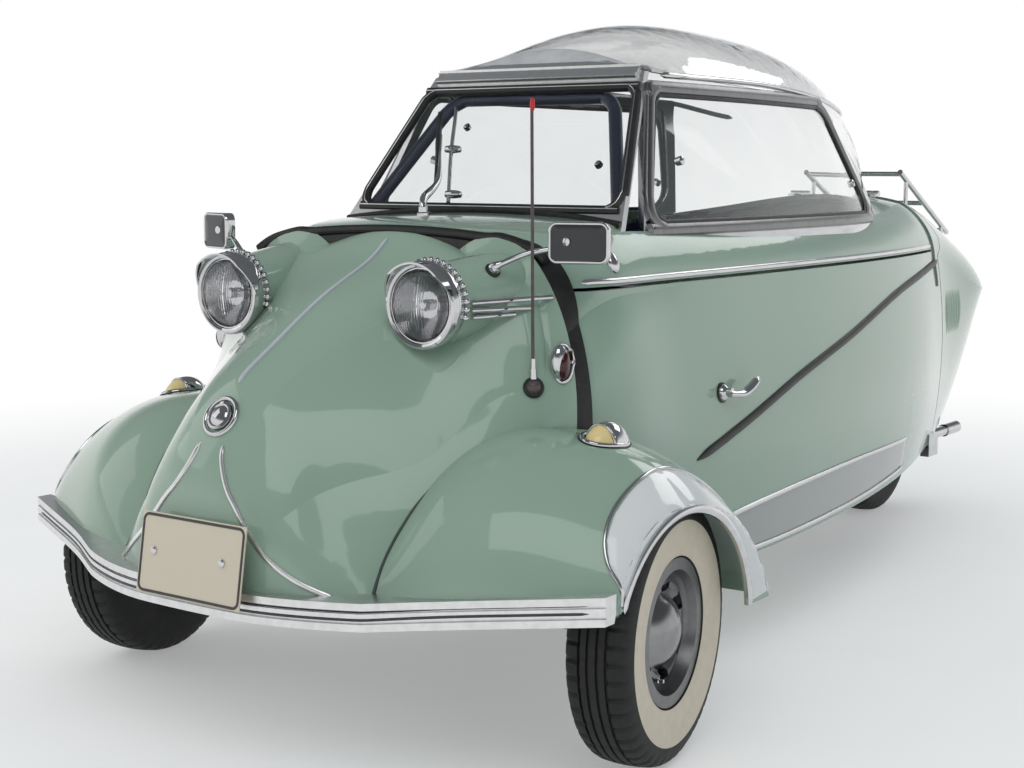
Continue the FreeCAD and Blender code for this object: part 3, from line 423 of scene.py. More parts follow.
def rounded(corners, radii, steps):
    """Closed path round some corners, each turned by a curve of its own size."""
    path = []
    for i, radius in enumerate(radii):
        a, b, c = corners[i - 1], corners[i], corners[(i + 1) % len(corners)]
        back = (a - b).normalized()
        ahead = (c - b).normalized()
        setback = radius / math.tan(back.angle(ahead) / 2)
        start, end = b + back * setback, b + ahead * setback
        for k in range(steps + 1):
            t = k / steps
            path.append((start * (1 - t) + b * t) * (1 - t) + (b * (1 - t) + end * t) * t)
    return path


def neighbours(items, i, closed):
    """The items before and after one; at an open end, the item itself."""
    before = items[i - 1] if closed or i > 0 else items[i]
    after = items[(i + 1) % len(items)] if closed or i < len(items) - 1 else items[i]
    return before, after


def evened(vectors, closed=False, passes=3):
    """Directions averaged with their neighbours."""
    for _ in range(passes):
        fresh = []
        for i, vector in enumerate(vectors):
            before, after = neighbours(vectors, i, closed)
            fresh.append((before + vector * 2.0 + after).normalized())
        vectors = fresh
    return vectors


def softened(path):
    """A path with its inner points averaged with their neighbours."""
    return path[:1] + [(a + b * 2 + c) / 4 for a, b, c in zip(path, path[1:], path[2:])] + path[-1:]


# share of its section that a tapered strip keeps at its ends
BLUNT = 0.2


def strip(name, spots, normals, section, finish, body="chassis", closed=False, taper=0.0):
    """A section of (across, out) pairs run along places; one normal may serve them all."""
    if isinstance(normals, Vector):
        normals = [normals] * len(spots)
    width = len(section)
    run = run_of(spots)
    verts = []
    for i, spot in enumerate(spots):
        before, after = neighbours(spots, i, closed)
        along = (after - before).normalized()
        out = (normals[i] - along * normals[i].dot(along)).normalized()
        across = along.cross(out)
        scale = 1.0
        if taper and not closed:
            reach = min(run[i], run[-1] - run[i]) / taper
            scale = BLUNT + (1.0 - BLUNT) * math.sin(min(reach, 1.0) * math.pi / 2)
        verts.extend(spot + across * (a * scale) + out * (b * scale) for a, b in section)
    faces = rings_joined(len(spots), width, closed)
    if not closed:
        faces.append(tuple(range(width)))
        faces.append(tuple(len(verts) - width + k for k in reversed(range(width))))
    return piece(name, verts, faces, finish, body)


def crown(width, height, sunk=0.002):
    """Low rounded moulding section."""
    shape = ((1.0, 0.35), (0.8, 0.75), (0.4, 0.95))
    half = width / 2
    rise = [(-half * across, height * up) for across, up in shape]
    fall = [(-across, out) for across, out in reversed(rise)]
    return [(-half, -sunk)] + rise + [(0.0, height)] + fall + [(half, -sunk)]


def moulding(name, skin, path, section, finish, body="chassis", step=0.008, closed=False, taper=0.012):
    """Trim strip laid on a skin along a path near it."""
    places = [skin.near(point) for point in fine(path, step, closed)]
    normals = evened([normal for _, normal in places], closed)
    return strip(name, [spot for spot, _ in places], normals, section, finish, body, closed, taper)


def lathe(name, rows, centre, axis, finish, body="chassis", count=72):
    """Turned piece: rows of (distance along the axis, radius)."""
    axis = Vector(axis).normalized()
    side = axis.orthogonal().normalized()
    up = axis.cross(side)
    verts = []
    starts = []
    poles = [radius < 1e-6 for _, radius in rows]
    for (along, radius), pole in zip(rows, poles):
        starts.append(len(verts))
        middle = Vector(centre) + axis * along
        verts.extend([middle] if pole else ring(middle, side, up, radius, radius, count))
    faces = []
    for j in range(len(rows) - 1):
        here, there = starts[j], starts[j + 1]
        for k in range(count):
            m = (k + 1) % count
            corners = [here] if poles[j] else [here + k, here + m]
            corners += [there] if poles[j + 1] else [there + m, there + k]
            if len(corners) > 2:
                faces.append(tuple(corners))
    return piece(name, verts, faces, finish, body)


def guides(spots):
    """A direction square to a path at each point, turning as little as it can."""
    guide = Vector((0.31, 0.17, 0.93)).normalized()
    result = []
    for i in range(len(spots)):
        before, after = neighbours(spots, i, False)
        ahead = (after - before).normalized()
        guide = (guide - ahead * guide.dot(ahead)).normalized()
        result.append((guide, ahead))
    return result


def tube(name, path, radius, finish, body="chassis", step=0.006):
    """Round rod or wire along a path."""
    spots = fine(path, step)
    section = [(c * radius, s * radius) for c, s in circle(12)]
    return strip(name, spots, [guide for guide, _ in guides(spots)], section, finish, body)


def limb(name, knots, finish, body="chassis", flat=1.0):
    """Round-ended rod whose radius changes along its path; knots are (place, radius)."""
    sides = 20
    spots = fine([spot for spot, _ in knots], 0.004)
    run = run_of(spots)
    marks = []
    for spot, radius in knots:
        nearest = min(range(len(spots)), key=lambda i: (spots[i] - spot).length)
        marks.append((run[nearest], radius))
    verts = []
    for spot, here, (guide, ahead) in zip(spots, run, guides(spots)):
        radius = marks[-1][1]
        for (r0, s0), (r1, s1) in zip(marks, marks[1:]):
            if r0 <= here <= r1 and r1 > r0:
                t = (here - r0) / (r1 - r0)
                radius = s0 + (s1 - s0) * (3 * t * t - 2 * t ** 3)
                break
        verts.extend(ring(spot, guide, ahead.cross(guide), radius * flat, radius, sides))
    faces = rings_joined(len(spots), sides)
    for base, end, inner in ((0, spots[0], spots[1]), (len(verts) - sides, spots[-1], spots[-2])):
        tip = len(verts)
        verts.append(end + (end - inner).normalized() * (verts[base] - end).length * 0.5)
        faces.extend((base + k, base + (k + 1) % sides, tip) for k in range(sides))
    return piece(name, verts, faces, finish, body, 50.0)


def turned(place, out, pieces, body="chassis"):
    """Turned pieces at one place, as (name, rows, finish, count); those named left get a right one."""
    for name, rows, finish, count in pieces:
        thing = lathe(name, rows, place, out, finish, body, count)
        if "left" in name:
            both(thing)


def dome_on(name, centre, normal, half_wide, half_high, rise, finish, body="chassis"):
    """Low oval dome standing on a surface."""
    rings = 9
    count = 40
    wide, tall = upright(normal)
    verts = []
    for j in range(rings):
        lean = math.pi / 2 * j / rings
        verts.extend(ring(centre + normal * (rise * math.sin(lean)), wide, tall, half_wide * math.cos(lean),
                          half_high * math.cos(lean), count))
    verts.append(centre + normal * rise)
    faces = rings_joined(rings, count)
    last = (rings - 1) * count
    faces.extend((last + k, last + (k + 1) % count, last + count) for k in range(count))
    return piece(name, verts, faces, finish, body)


def rounded_loop(centre, wide, tall, half_wide, half_high, radius, arc=6):
    """Closed path of a rounded rectangle."""
    path = []
    for sx, sy, start in ((1, 1, 0), (-1, 1, 90), (-1, -1, 180), (1, -1, 270)):
        cx = sx * (half_wide - radius)
        cy = sy * (half_high - radius)
        for k in range(arc + 1):
            turn = math.radians(start + 90 * k / arc)
            x, y = cx + math.cos(turn) * radius, cy + math.sin(turn) * radius
            path.append(centre + wide * x + tall * y)
    return path


# ---------------------------------------------------------------- wheels

WHEELS = (
    # name of the wheel's nodes, its body, direction of its outer side along X
    ("front_left", "wheel_left", 1.0), ("front_right", "wheel_right", -1.0), ("rear", "wheel_rear", 1.0),
)
JOINTS = {joint["name"]: joint for joint in frame["joints"]}
M_TREAD = dull("tyre_black", (0.004, 0.004, 0.004), (0.008, 0.008, 0.008), 0.55, 0.72, 140.0, 0.2)
M_WHITEWALL = dull("whitewall_cream", (0.66, 0.58, 0.46), (0.62, 0.54, 0.43), 0.5, 0.62, 60.0, 0.05)
M_CAP = bright_metal("hub_cap_grey", (0.3, 0.3, 0.305), 0.16, 0.24)

# across from the middle, radius; the grooves round the tread are lower rows
TYRE_ROWS = (
    (0.0, 0.2075), (0.005, 0.2075), (0.0062, 0.2035), (0.0088, 0.2035), (0.01, 0.2073), (0.019, 0.2068),
    (0.02, 0.2025), (0.0226, 0.2022), (0.0238, 0.2062), (0.033, 0.205), (0.039, 0.2028), (0.044, 0.199),
    (0.048, 0.1925), (0.0505, 0.185), (0.0518, 0.1775), (0.0522, 0.1735), (0.0521, 0.166), (0.0517, 0.153),
    (0.0508, 0.14), (0.0492, 0.13), (0.047, 0.1225), (0.044, 0.118), (0.04, 0.1165), (0.038, 0.115),
    (0.038, 0.102),
)
PALE_ROWS = range(15, 21)
TYRE_COUNT = 240
SHOULDER_CUT = 0.0035
RIB_CUT = 0.0012


def tyre(name, centre, axis, body, pale):
    """Road tyre with cut tread, and a broad pale outer side wall if asked."""
    rows = [(-a, r) for a, r in TYRE_ROWS[:0:-1]] + list(TYRE_ROWS)
    side = UP.cross(axis)
    verts = []
    for across, radius in rows:
        shoulder = 0.022 < abs(across) < 0.0485 and radius > 0.19
        rib = abs(across) < 0.0195
        for k, (c, s) in enumerate(circle(TYRE_COUNT)):
            r = radius
            if shoulder and k % 5 == 0:
                r = radius - SHOULDER_CUT
            if rib and (k + 2) % 10 == 0:
                r = radius - RIB_CUT
            verts.append(centre + axis * across + side * (c * r) + UP * (s * r))
    thing = piece(name, verts, rings_joined(len(rows), TYRE_COUNT), (M_TREAD, "tyre"), body, 28.0)
    thing.data.materials.append(M_WHITEWALL)
    for polygon in thing.data.polygons:
        row = min(polygon.vertices) // TYRE_COUNT - (len(TYRE_ROWS) - 1)
        if pale and row in PALE_ROWS:
            polygon.material_index = 1
    return thing


HUB_CAP = (
    (0.013, 0.06), (0.0165, 0.063), (0.019, 0.062), (0.0215, 0.058), (0.027, 0.053), (0.034, 0.046),
    (0.04, 0.037), (0.0445, 0.027), (0.048, 0.017), (0.05, 0.008), (0.0505, 0.0),
)
VALVE = ((0.0, 0.0045), (0.012, 0.0042), (0.0135, 0.003), (0.02, 0.003), (0.0215, 0.0))
for label, body, sign in WHEELS:
    axis = (Vector(JOINTS[body + "_spin"]["axis"]) * sign).normalized()
    rim_low, rim_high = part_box("rim_" + label)
    centre = (Vector(rim_low) + Vector(rim_high)) / 2
    road = tyre("tyre_road_" + label, centre, axis, body, label != "rear")
    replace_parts(road, "tyre_" + label)
    for n, out in enumerate((axis, -axis) if label == "rear" else (axis,)):
        lathe("hub_cap_%s_%d" % (label, n), HUB_CAP, centre, out, (M_CAP, "chrome"), body, 64)
    valve_at = centre + axis * 0.028 + axis.cross(UP) * 0.052 - UP * 0.062
    lathe("valve_" + label, VALVE, valve_at, axis, CHROME, body, 16)

# ---------------------------------------------------------------- nose trim

TRIM = crown(0.0085, 0.0038)
CENTRE_LINE = (
    (-0.916, 0.792), (-0.948, 0.768), (-0.994, 0.742), (-1.051, 0.716), (-1.1, 0.691), (-1.146, 0.664),
    (-1.194, 0.634), (-1.244, 0.604), (-1.276, 0.58),
)
# the chrome centre strip is given pale bluish paint instead of metal: painted reflection that keeps it
# bright whatever surrounds it
M_STRIP_PAINTED_REFLECTION = paint("strip_pale", (0.5, 0.54, 0.56), (0.42, 0.46, 0.48))
moulding("nose_centre_strip", NOSE, [(0.0, y, z) for y, z in CENTRE_LINE], TRIM, (M_STRIP_PAINTED_REFLECTION, "chrome"))
WHISKER = (
    (0.024, -1.333, 0.494), (0.03, -1.342, 0.474), (0.041, -1.35, 0.452), (0.056, -1.356, 0.429),
    (0.075, -1.36, 0.408), (0.099, -1.362, 0.378), (0.128, -1.361, 0.347), (0.157, -1.354, 0.324),
    (0.185, -1.341, 0.305), (0.213, -1.325, 0.291), (0.232, -1.312, 0.283),
)
both(moulding("nose_whisker_left", NOSE, WHISKER, TRIM, (M_SATIN, "chrome")))

# ends of the three bright bars beside each headlamp pod
SIDE_BARS = (
    ((0.278, -1.05, 0.703), (0.332, -0.915, 0.707)),
    ((0.278, -1.05, 0.691), (0.312, -0.945, 0.691)),
    ((0.275, -1.045, 0.679), (0.296, -0.966, 0.681)),
)
BAR_LIFT = 0.0035
for n, ends in enumerate(SIDE_BARS):
    start, end = (NOSE.near(point)[0] for point in ends)
    line = []
    for k in range(13):
        spot = start.lerp(end, k / 12.0)
        lifted, _ = NOSE.from_side(spot.y, spot.z)
        if lifted is None or lifted.x < spot.x:
            lifted = spot
        line.append(Vector((lifted.x + BAR_LIFT, lifted.y, spot.z)))
    both(tube("lamp_bar_left_%d" % n, softened(line), 0.0042, CHROME, step=0.004))

CREASE = (
    (0.27, -1.28, 0.281), (0.269, -1.265, 0.308), (0.27, -1.25, 0.335), (0.271, -1.235, 0.355),
    (0.27, -1.215, 0.374), (0.278, -1.19, 0.405), (0.287, -1.165, 0.429), (0.298, -1.13, 0.459),
    (0.313, -1.1, 0.479), (0.327, -1.08, 0.489), (0.337, -1.055, 0.496), (0.365, -1.015, 0.501),
    (0.38, -0.985, 0.503),
)
M_WELT = dull("welt_dark", (0.03, 0.045, 0.038), (0.04, 0.056, 0.048), 0.4, 0.55)
both(moulding("wing_welt_left", NOSE, CREASE, crown(0.0055, 0.0028), (M_WELT, "rubber"), step=0.006))

# ---------------------------------------------------------------- side trim

BELT = crown(0.0105, 0.0055)
hatch_low, hatch_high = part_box("hatch_shell")
belt_y = [hatch_low[1] + 0.02 + (hatch_high[1] - hatch_low[1] - 0.03) * k / 24.0 for k in range(25)]
belt_z = hatch_low[2] + 0.0075
moulding("belt_strip_left", HATCH, HATCH.along([(y, belt_z) for y in belt_y]), BELT, ALU, "hatch")

DIAGONAL = (
    (0.27, 0.88, 0.69), (0.344, 0.463, 0.642), (0.381, 0.119, 0.569), (0.396, -0.143, 0.512),
    (0.403, -0.361, 0.454), (0.405, -0.562, 0.403),
)
both(moulding("flank_bead_left", TUB, DIAGONAL, crown(0.016, 0.006), RUBBER, step=0.01, taper=0.05))

M_PALE = paint("sill_pale", (0.345, 0.35, 0.345), (0.325, 0.33, 0.325))
SILL_TOP = (
    (-0.6, 0.262), (-0.5, 0.274), (-0.38, 0.288), (-0.148, 0.3), (0.106, 0.307), (0.3, 0.306),
    (0.497, 0.302),
)
SILL_FOOT = (
    (-0.6, 0.212), (-0.5, 0.207), (-0.38, 0.205), (-0.148, 0.207), (0.106, 0.214), (0.3, 0.223),
    (0.497, 0.236),
)
PANEL_ROWS = 8
PANEL_LIFT = 0.0012
low, high = (fine([(0.0, y, z) for y, z in line], 0.012) for line in (SILL_FOOT, SILL_TOP))
columns = min(len(low), len(high)) - 1
verts = []
for i in range(columns + 1):
    a, b = (line[int(round(i * (len(line) - 1) / columns))] for line in (low, high))
    for j in range(PANEL_ROWS + 1):
        spot = a.lerp(b, j / PANEL_ROWS)
        place, out = TUB.flank(0.4, spot.y, spot.z)
        inside = 0 < j < PANEL_ROWS and 0 < i < columns
        verts.append(place + out * (PANEL_LIFT if inside else -0.0008))
both(piece("sill_panel_left", verts, sheet(columns, PANEL_ROWS), (M_PALE, "paint_green")))
for label, line in (("top", SILL_TOP), ("foot", SILL_FOOT)):
    both(moulding("sill_bead_%s_left" % label, TUB, TUB.along(line), crown(0.0095, 0.0045), ALU, step=0.01))

# ---------------------------------------------------------------- wings

ARCH_Y = at(-0.006)
ARCH_Z = 0.2
ARCH_R = 0.199
WING_INNER_X = 0.4
WING_OUTER_X = 0.58
M_WHITE = paint("wing_mask_white", (0.7, 0.705, 0.7), (0.67, 0.675, 0.67))
MASK_EDGE = (
    # angle from straight ahead, over the top, in degrees; outer radius
    (25, 0.2035), (29, 0.211), (34, 0.224), (39, 0.24), (47, 0.252), (57, 0.258), (71, 0.259), (93, 0.258),
    (110, 0.257), (125, 0.2555), (140, 0.256), (152, 0.259), (162, 0.264), (170, 0.268), (175, 0.269),
)


def wing_spot(angle, radius, lift=0.0):
    """Place on the left wing at an angle and radius about the wheel arch's centre."""
    y = ARCH_Y - math.cos(math.radians(angle)) * radius
    z = ARCH_Z + math.sin(math.radians(angle)) * radius
    place, normal = WING.from_side(y, z)
    if place is None or place.x < WING_INNER_X:
        place, normal = WING.near((WING_OUTER_X, y, z))
    return place + normal * lift


MASK_COLUMNS = 96
mask_inner = ARCH_R + 0.002
first, last = MASK_EDGE[0][0], MASK_EDGE[-1][0]
verts = []
for i in range(MASK_COLUMNS + 1):
    angle = first + (last - first) * i / MASK_COLUMNS
    for (a0, r0), (a1, r1) in zip(MASK_EDGE, MASK_EDGE[1:]):
        if a0 <= angle <= a1 + 1e-9:
            outer = r0 + (r1 - r0) * (angle - a0) / (a1 - a0)
    for j in range(PANEL_ROWS + 1):
        edge = j in (0, PANEL_ROWS) or i in (0, MASK_COLUMNS)
        radius = mask_inner + (outer - mask_inner) * j / PANEL_ROWS
        verts.append(wing_spot(angle, radius, -0.0005 if edge else PANEL_LIFT))
both(piece("wing_mask_left", verts, sheet(MASK_COLUMNS, PANEL_ROWS), (M_WHITE, "paint_green")))
outline = [wing_spot(angle, radius) for angle, radius in MASK_EDGE]
both(moulding("wing_mask_trim_left", WING, outline, crown(0.006, 0.003), ALU, step=0.006))
ARCH_TRIM = (
    (-0.0065, -0.006), (-0.0065, 0.004), (-0.0035, 0.0062), (0.0, 0.0068), (0.0035, 0.0058), (0.0062, 0.003),
    (0.0062, -0.002),
)
lip = [wing_spot(angle, ARCH_R + 0.004) for angle in range(2, 179, 4)]
both(moulding("arch_trim_left", WING, lip, ARCH_TRIM, ALU, step=0.006))

# ---------------------------------------------------------------- headlamps

lens_low, lens_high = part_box("headlamp_lenses")
LENS_R = (lens_high[2] - lens_low[2]) / 2
lamp = Vector((lens_high[0] - LENS_R, lens_low[1], (lens_low[2] + lens_high[2]) / 2))
M_LENS = clear("lens_glass", (0.93, 0.94, 0.95), 0.02)
M_REFLECTOR = bright_metal("reflector", (0.26, 0.26, 0.27), 0.1, 0.18, 30.0)

# convex glass with upright flutes
LENS_RINGS = 26
LENS_DEPTH = 0.013
FLUTE_WIDTH = 0.0056
FLUTE_DEPTH = 0.0014
glass_r = LENS_R - 0.001
glass_at = lamp + AHEAD * 0.002
verts = []
for j in range(LENS_RINGS + 1):
    r = glass_r * j / LENS_RINGS
    belly = LENS_DEPTH * (1.0 - (r / glass_r) ** 2)
    for c, s in circle(120):
        flute = FLUTE_DEPTH * abs(math.sin(c * r / FLUTE_WIDTH * math.pi)) if r < glass_r * 0.93 else 0.0
        verts.append(glass_at + Vector((c * r, -belly - flute, s * r)))
faces = rings_joined(LENS_RINGS + 1, 120)
lens = both(piece("headlamp_glass_left", verts, faces, (M_LENS, "glass"), angle=60.0))
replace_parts(lens, "headlamp_lenses")
for side_name in ("left", "right"):
    bpy.data.objects["headlamp_glass_" + side_name].modifiers.new("wall", "SOLIDIFY").thickness = 0.002

DISH = [(0.0035 - 0.024 * (1 - (i / 10.0) ** 2), (LENS_R - 0.002) * i / 10.0) for i in range(11)]
BULB = ((-0.02, 0.009), (-0.006, 0.009), (-0.002, 0.007), (0.0, 0.0))
BEZEL = (
    (0.022, 0.0655), (0.012, 0.0685), (0.002, 0.07), (-0.006, 0.0698), (-0.0105, 0.0675), (-0.012, 0.064),
    (-0.0105, 0.06), (-0.006, 0.0575), (0.0, 0.0565),
)
bezel_at = (lamp.x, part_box("headlamp_rings")[0][1] + 0.03, lamp.z)
turned(lamp, AHEAD, (
    ("headlamp_dish_left", DISH, (M_REFLECTOR, "chrome"), 64),
    ("headlamp_bulb_left", BULB, CHROME, 32),
))
turned(bezel_at, BACK, (("headlamp_bezel_left", BEZEL, CHROME, 96),))
STUD_RING = 0.0695
shape = bmesh.new()
for k in range(2, 23):
    turn = math.radians(-35 + 250 * k / 24.0)
    spot = lamp + Vector((math.cos(turn) * STUD_RING, 0.024, math.sin(turn) * STUD_RING))
    bmesh.ops.create_icosphere(shape, subdivisions=2, radius=0.0055, matrix=Matrix.Translation(spot))
both(piece("headlamp_studs_left", *taken(shape), CHROME))

# ---------------------------------------------------------------- small lamps, badge, aerial

M_RED_DEEP = paint("lamp_red", (0.05, 0.002, 0.003), (0.035, 0.001, 0.002))
side_low, side_high = (Vector(corner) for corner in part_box("side_lamps"))
side_mid = (side_low + side_high) / 2
place, out = NOSE.near((side_high.x - 0.006, side_mid.y - 0.001, side_mid.z))
outline = ring(place, *upright(out), 0.0155, 0.03, 28)
both(moulding("side_lamp_rim_left", NOSE, outline, crown(0.0065, 0.0045), CHROME, step=0.003, closed=True))
both(dome_on("side_lamp_glass_left", place, out, 0.013, 0.027, 0.023, (M_RED_DEEP, "plastic")))

foot_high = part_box("fender_lamps")[1]
crest_low, crest_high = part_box("fender_lamp_lenses")
crest_x = (crest_high[0] + foot_high[0]) / 2 - 0.026
crest_mid = (crest_low[1] + foot_high[1]) / 2
crest_half = (foot_high[1] - crest_low[1]) / 2
gasket = []
for c, s in circle(28):
    tail_in = 0.4 * max(0.0, s) ** 2
    gasket.append((crest_x + c * 0.0325 * (1 - tail_in), crest_mid + 0.006 + s * (crest_half + 0.008),
                   foot_high[2] - 0.015))
LAMP_EDGES = (("foot", crown(0.008, 0.006), CHROME), ("gasket", crown(0.0125, 0.0024), RUBBER))
for label, section, finish in LAMP_EDGES:
    both(moulding("wing_lamp_%s_left" % label, WING, gasket, section, finish, step=0.003, closed=True))

aerial_low, aerial_high = (Vector(corner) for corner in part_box("antenna"))
aerial_mid = (aerial_low + aerial_high) / 2
AERIAL_LEAN = (0.007, -0.027, 1.0)
M_TIP = dull("aerial_tip_red", (0.55, 0.012, 0.02), (0.5, 0.01, 0.016), 0.35, 0.45)
tip_at = (aerial_mid.x + 0.0015, aerial_low.y + 0.0035, aerial_high.z - 0.004)
base = Vector((aerial_low.x + 0.01, aerial_mid.y + 0.002, aerial_low.z + 0.012))
place, out = NOSE.near(base)
TIP = ((-0.012, 0.0026), (-0.008, 0.0036), (0.0, 0.004), (0.006, 0.003), (0.009, 0.0))
turned(tip_at, UP, (("aerial_tip", TIP, (M_TIP, "plastic"), 20),))
GROMMET = ((-0.001, 0.017), (0.004, 0.0165), (0.0065, 0.014), (0.007, 0.0))
turned(place, out, (("aerial_grommet", GROMMET, RUBBER, 32),))
for n, (low, high, radius) in enumerate(((0.02, 0.036, 0.0052), (0.036, 0.052, 0.004))):
    rows = ((low, 0.0), (low, radius), (high, radius * 0.9), (high, 0.0))
    turned(base + DOWN * 0.006, AERIAL_LEAN, (("aerial_collar_%d" % n, rows, CHROME, 20),))

BADGE = (
    (0.0, 0.0235), (0.004, 0.023), (0.0052, 0.019), (0.004, 0.0165), (0.0062, 0.013), (0.0085, 0.006),
    (0.009, 0.0),
)
badge_low, badge_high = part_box("badge_ring")
place, out = NOSE.near((0.0, (badge_low[1] + badge_high[1]) / 2, (badge_low[2] + badge_high[2]) / 2))
lathe("badge_boss", BADGE, place + out * 0.001, out, CHROME, count=48)

# ---------------------------------------------------------------- number plate


def leaning(lean):
    """Rising and outward directions of a flat face that leans back from upright."""
    return Vector((0.0, math.sin(lean), math.cos(lean))), Vector((0.0, -math.cos(lean), math.sin(lean)))


plate_low, plate_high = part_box("number_plate")
plate_up, plate_out = leaning(math.radians(9))
plate_wide = (plate_high[0] - plate_low[0]) / 2
plate_tall = 0.062
plate_mid = Vector(((plate_low[0] + plate_high[0]) / 2, plate_low[1], plate_low[2])) + plate_up * plate_tall
plate_spot, _ = PLATE.hit(plate_mid + plate_out * 0.2, -plate_out)
M_PLATE_RIM = dull("plate_rim_dark", (0.045, 0.038, 0.04), (0.06, 0.05, 0.05), 0.4, 0.5)
edge = rounded_loop(plate_spot, LEFT, plate_up, plate_wide - 0.004, plate_tall - 0.004, 0.01)
strip("plate_rim", edge, plate_out, crown(0.0042, 0.0014, 0.001), (M_PLATE_RIM, "plate"), closed=True)
BOLT = ((-0.0005, 0.0065), (0.002, 0.0062), (0.003, 0.004), (0.0032, 0.0))
for n, across in enumerate((-0.078, 0.066)):
    bolt_at = plate_spot + LEFT * across + plate_up * 0.004
    turned(bolt_at, plate_out, (("plate_bolt_%d" % n, BOLT, (M_ALU, "steel"), 20),))

# ---------------------------------------------------------------- windscreen

screen_low, screen_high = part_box("windscreen")
frame_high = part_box("windscreen_frame")[1]
screen_lean = math.atan2(screen_high[1] - screen_low[1] - 0.008, screen_high[2] - screen_low[2])
_, screen_out = leaning(screen_lean)
frame_spot, _ = SCREEN.hit((0.0, -CLEAR_OF_CAR, frame_high[2] - 0.016), BACK)


def screen_y(z):
    """Y of the frame's outer face at a height."""
    return frame_spot.y + (z - frame_spot.z) * math.tan(screen_lean)


def screen_place(x, z, behind=0.0):
    """Place in the plane of the frame's outer face, or some way behind it."""
    return Vector((x, screen_y(z) + behind, z))


def screen_loop(half_low, half_high, low, high, radius):
    """Closed rounded path in the windscreen's plane."""
    corners = [Vector((half_low, 0, low)), Vector((half_high, 0, high)), Vector((-half_high, 0, high)),
               Vector((-half_low, 0, low))]
    return [screen_place(spot.x, spot.z) for spot in rounded(corners, [radius] * 4, 6)]


seal = fine(screen_loop(0.297, 0.236, screen_low[2] + 0.001, screen_high[2] + 0.002, 0.034), 0.01, True)
strip("screen_seal", seal, screen_out, crown(0.018, 0.008, 0.004), RUBBER, "hatch", True)
strip("screen_bright_line", [spot + screen_out * 0.0066 for spot in seal], screen_out,
      crown(0.003, 0.0022, 0.001), CHROME, "hatch", True)

GUTTER = (
    (-0.014, -0.004), (-0.014, 0.006), (-0.011, 0.0095), (-0.008, 0.006), (0.005, 0.006), (0.0085, 0.01),
    (0.013, 0.01), (0.015, 0.007), (0.015, -0.004),
)
half = frame_high[0] - 0.085
header = [screen_place(half * k / 10.0, frame_high[2] - 0.023) for k in range(-10, 11)]
strip("gutter_front", header, screen_out, GUTTER, (M_SATIN, "alu"), "hatch")
LOWER_SEAL = (
    (-0.0125, -0.004), (-0.0125, 0.005), (-0.009, 0.0085), (-0.004, 0.0085), (0.0, 0.004), (0.003, 0.0085),
    (0.008, 0.0085), (0.0105, 0.005), (0.0105, -0.004),
)
foot = []
for k in range(-30, 31):
    x = 0.306 * k / 30.0
    foot.append(screen_place(x, screen_low[2] - 0.0085 - 0.0195 * (x / 0.3) ** 2))
strip("screen_lower_seal", foot, screen_out, LOWER_SEAL, RUBBER, "hatch")

# ---------------------------------------------------------------- side windows, gutters and inner hoop

WINDOW = ((0.358, 0.808), (0.47, 1.05), (1.262, 1.05), (1.402, 0.808))
M_WINDOW_FRAME = bright_metal("window_frame_metal", (0.22, 0.22, 0.225), 0.24, 0.34)
WINDOW_TRIM = (
    # name, growth outward, corner radii, section, finish
    ("window_frame_left", 0.005, (0.05, 0.05, 0.11, 0.05), crown(0.023, 0.009, 0.003),
     (M_WINDOW_FRAME, "alu")),
    ("window_seal_left", -0.008, (0.04, 0.04, 0.1, 0.04), crown(0.0085, 0.005, 0.003), RUBBER),
)
# how far each corner moves along the car and up, for a growth of 1
GROW_WAYS = ((-1.25, -1), (-0.8, 1), (0.8, 1), (1.25, -1))
for name, growth, radii, section, finish in WINDOW_TRIM:
    corners = [Vector((0.0, at(station + growth * along), height + growth * up))
               for (station, height), (along, up) in zip(WINDOW, GROW_WAYS)]
    places = [SIDE.flank(0.3, spot.y, spot.z) for spot in fine(rounded(corners, radii, 8), 0.01, True)]
    normals = evened([normal for _, normal in places], True, 4)
    both(strip(name, [spot for spot, _ in places], normals, section, finish, "hatch", True))
KNOB = ((-0.012, 0.008), (-0.004, 0.0085), (0.003, 0.0085), (0.0045, 0.006), (0.005, 0.0))
for n, (station, height) in enumerate(((0.515, 0.925), (1.33, 0.88))):
    both(lathe("window_knob_left_%d" % n, KNOB, *SIDE.from_side(at(station), height), CHROME, "hatch", 24))

path = []
for k in range(26):
    station = 0.47 + (1.5 - 0.47) * k / 25.0
    fall = 0.03 * (max(0.0, station - 0.9) / 0.6) ** 1.5 + 0.1 * max(0.0, station - 1.3) ** 1.2
    path.append((at(station), 1.079 - fall))
both(moulding("gutter_left", SIDE, SIDE.along(path), crown(0.011, 0.0065), ALU, "hatch", 0.012))

M_NAVY_TUBE = dull("navy_frame", (0.012, 0.02, 0.055), (0.018, 0.028, 0.072), 0.3, 0.4, 160.0)
HOOP_BEHIND = 0.024
hoop = [screen_place(0.276, screen_low[2], HOOP_BEHIND)]
for spot in screen_loop(0.276, 0.182, screen_low[2] - 0.01, screen_high[2] - 0.016, 0.06)[7:21]:
    hoop.append(spot + BACK * HOOP_BEHIND)
hoop.append(screen_place(-0.276, screen_low[2], HOOP_BEHIND))
tube("inner_hoop", hoop, 0.0125, (M_NAVY_TUBE, "vinyl"), "hatch", 0.012)

# ---------------------------------------------------------------- mirrors and handle

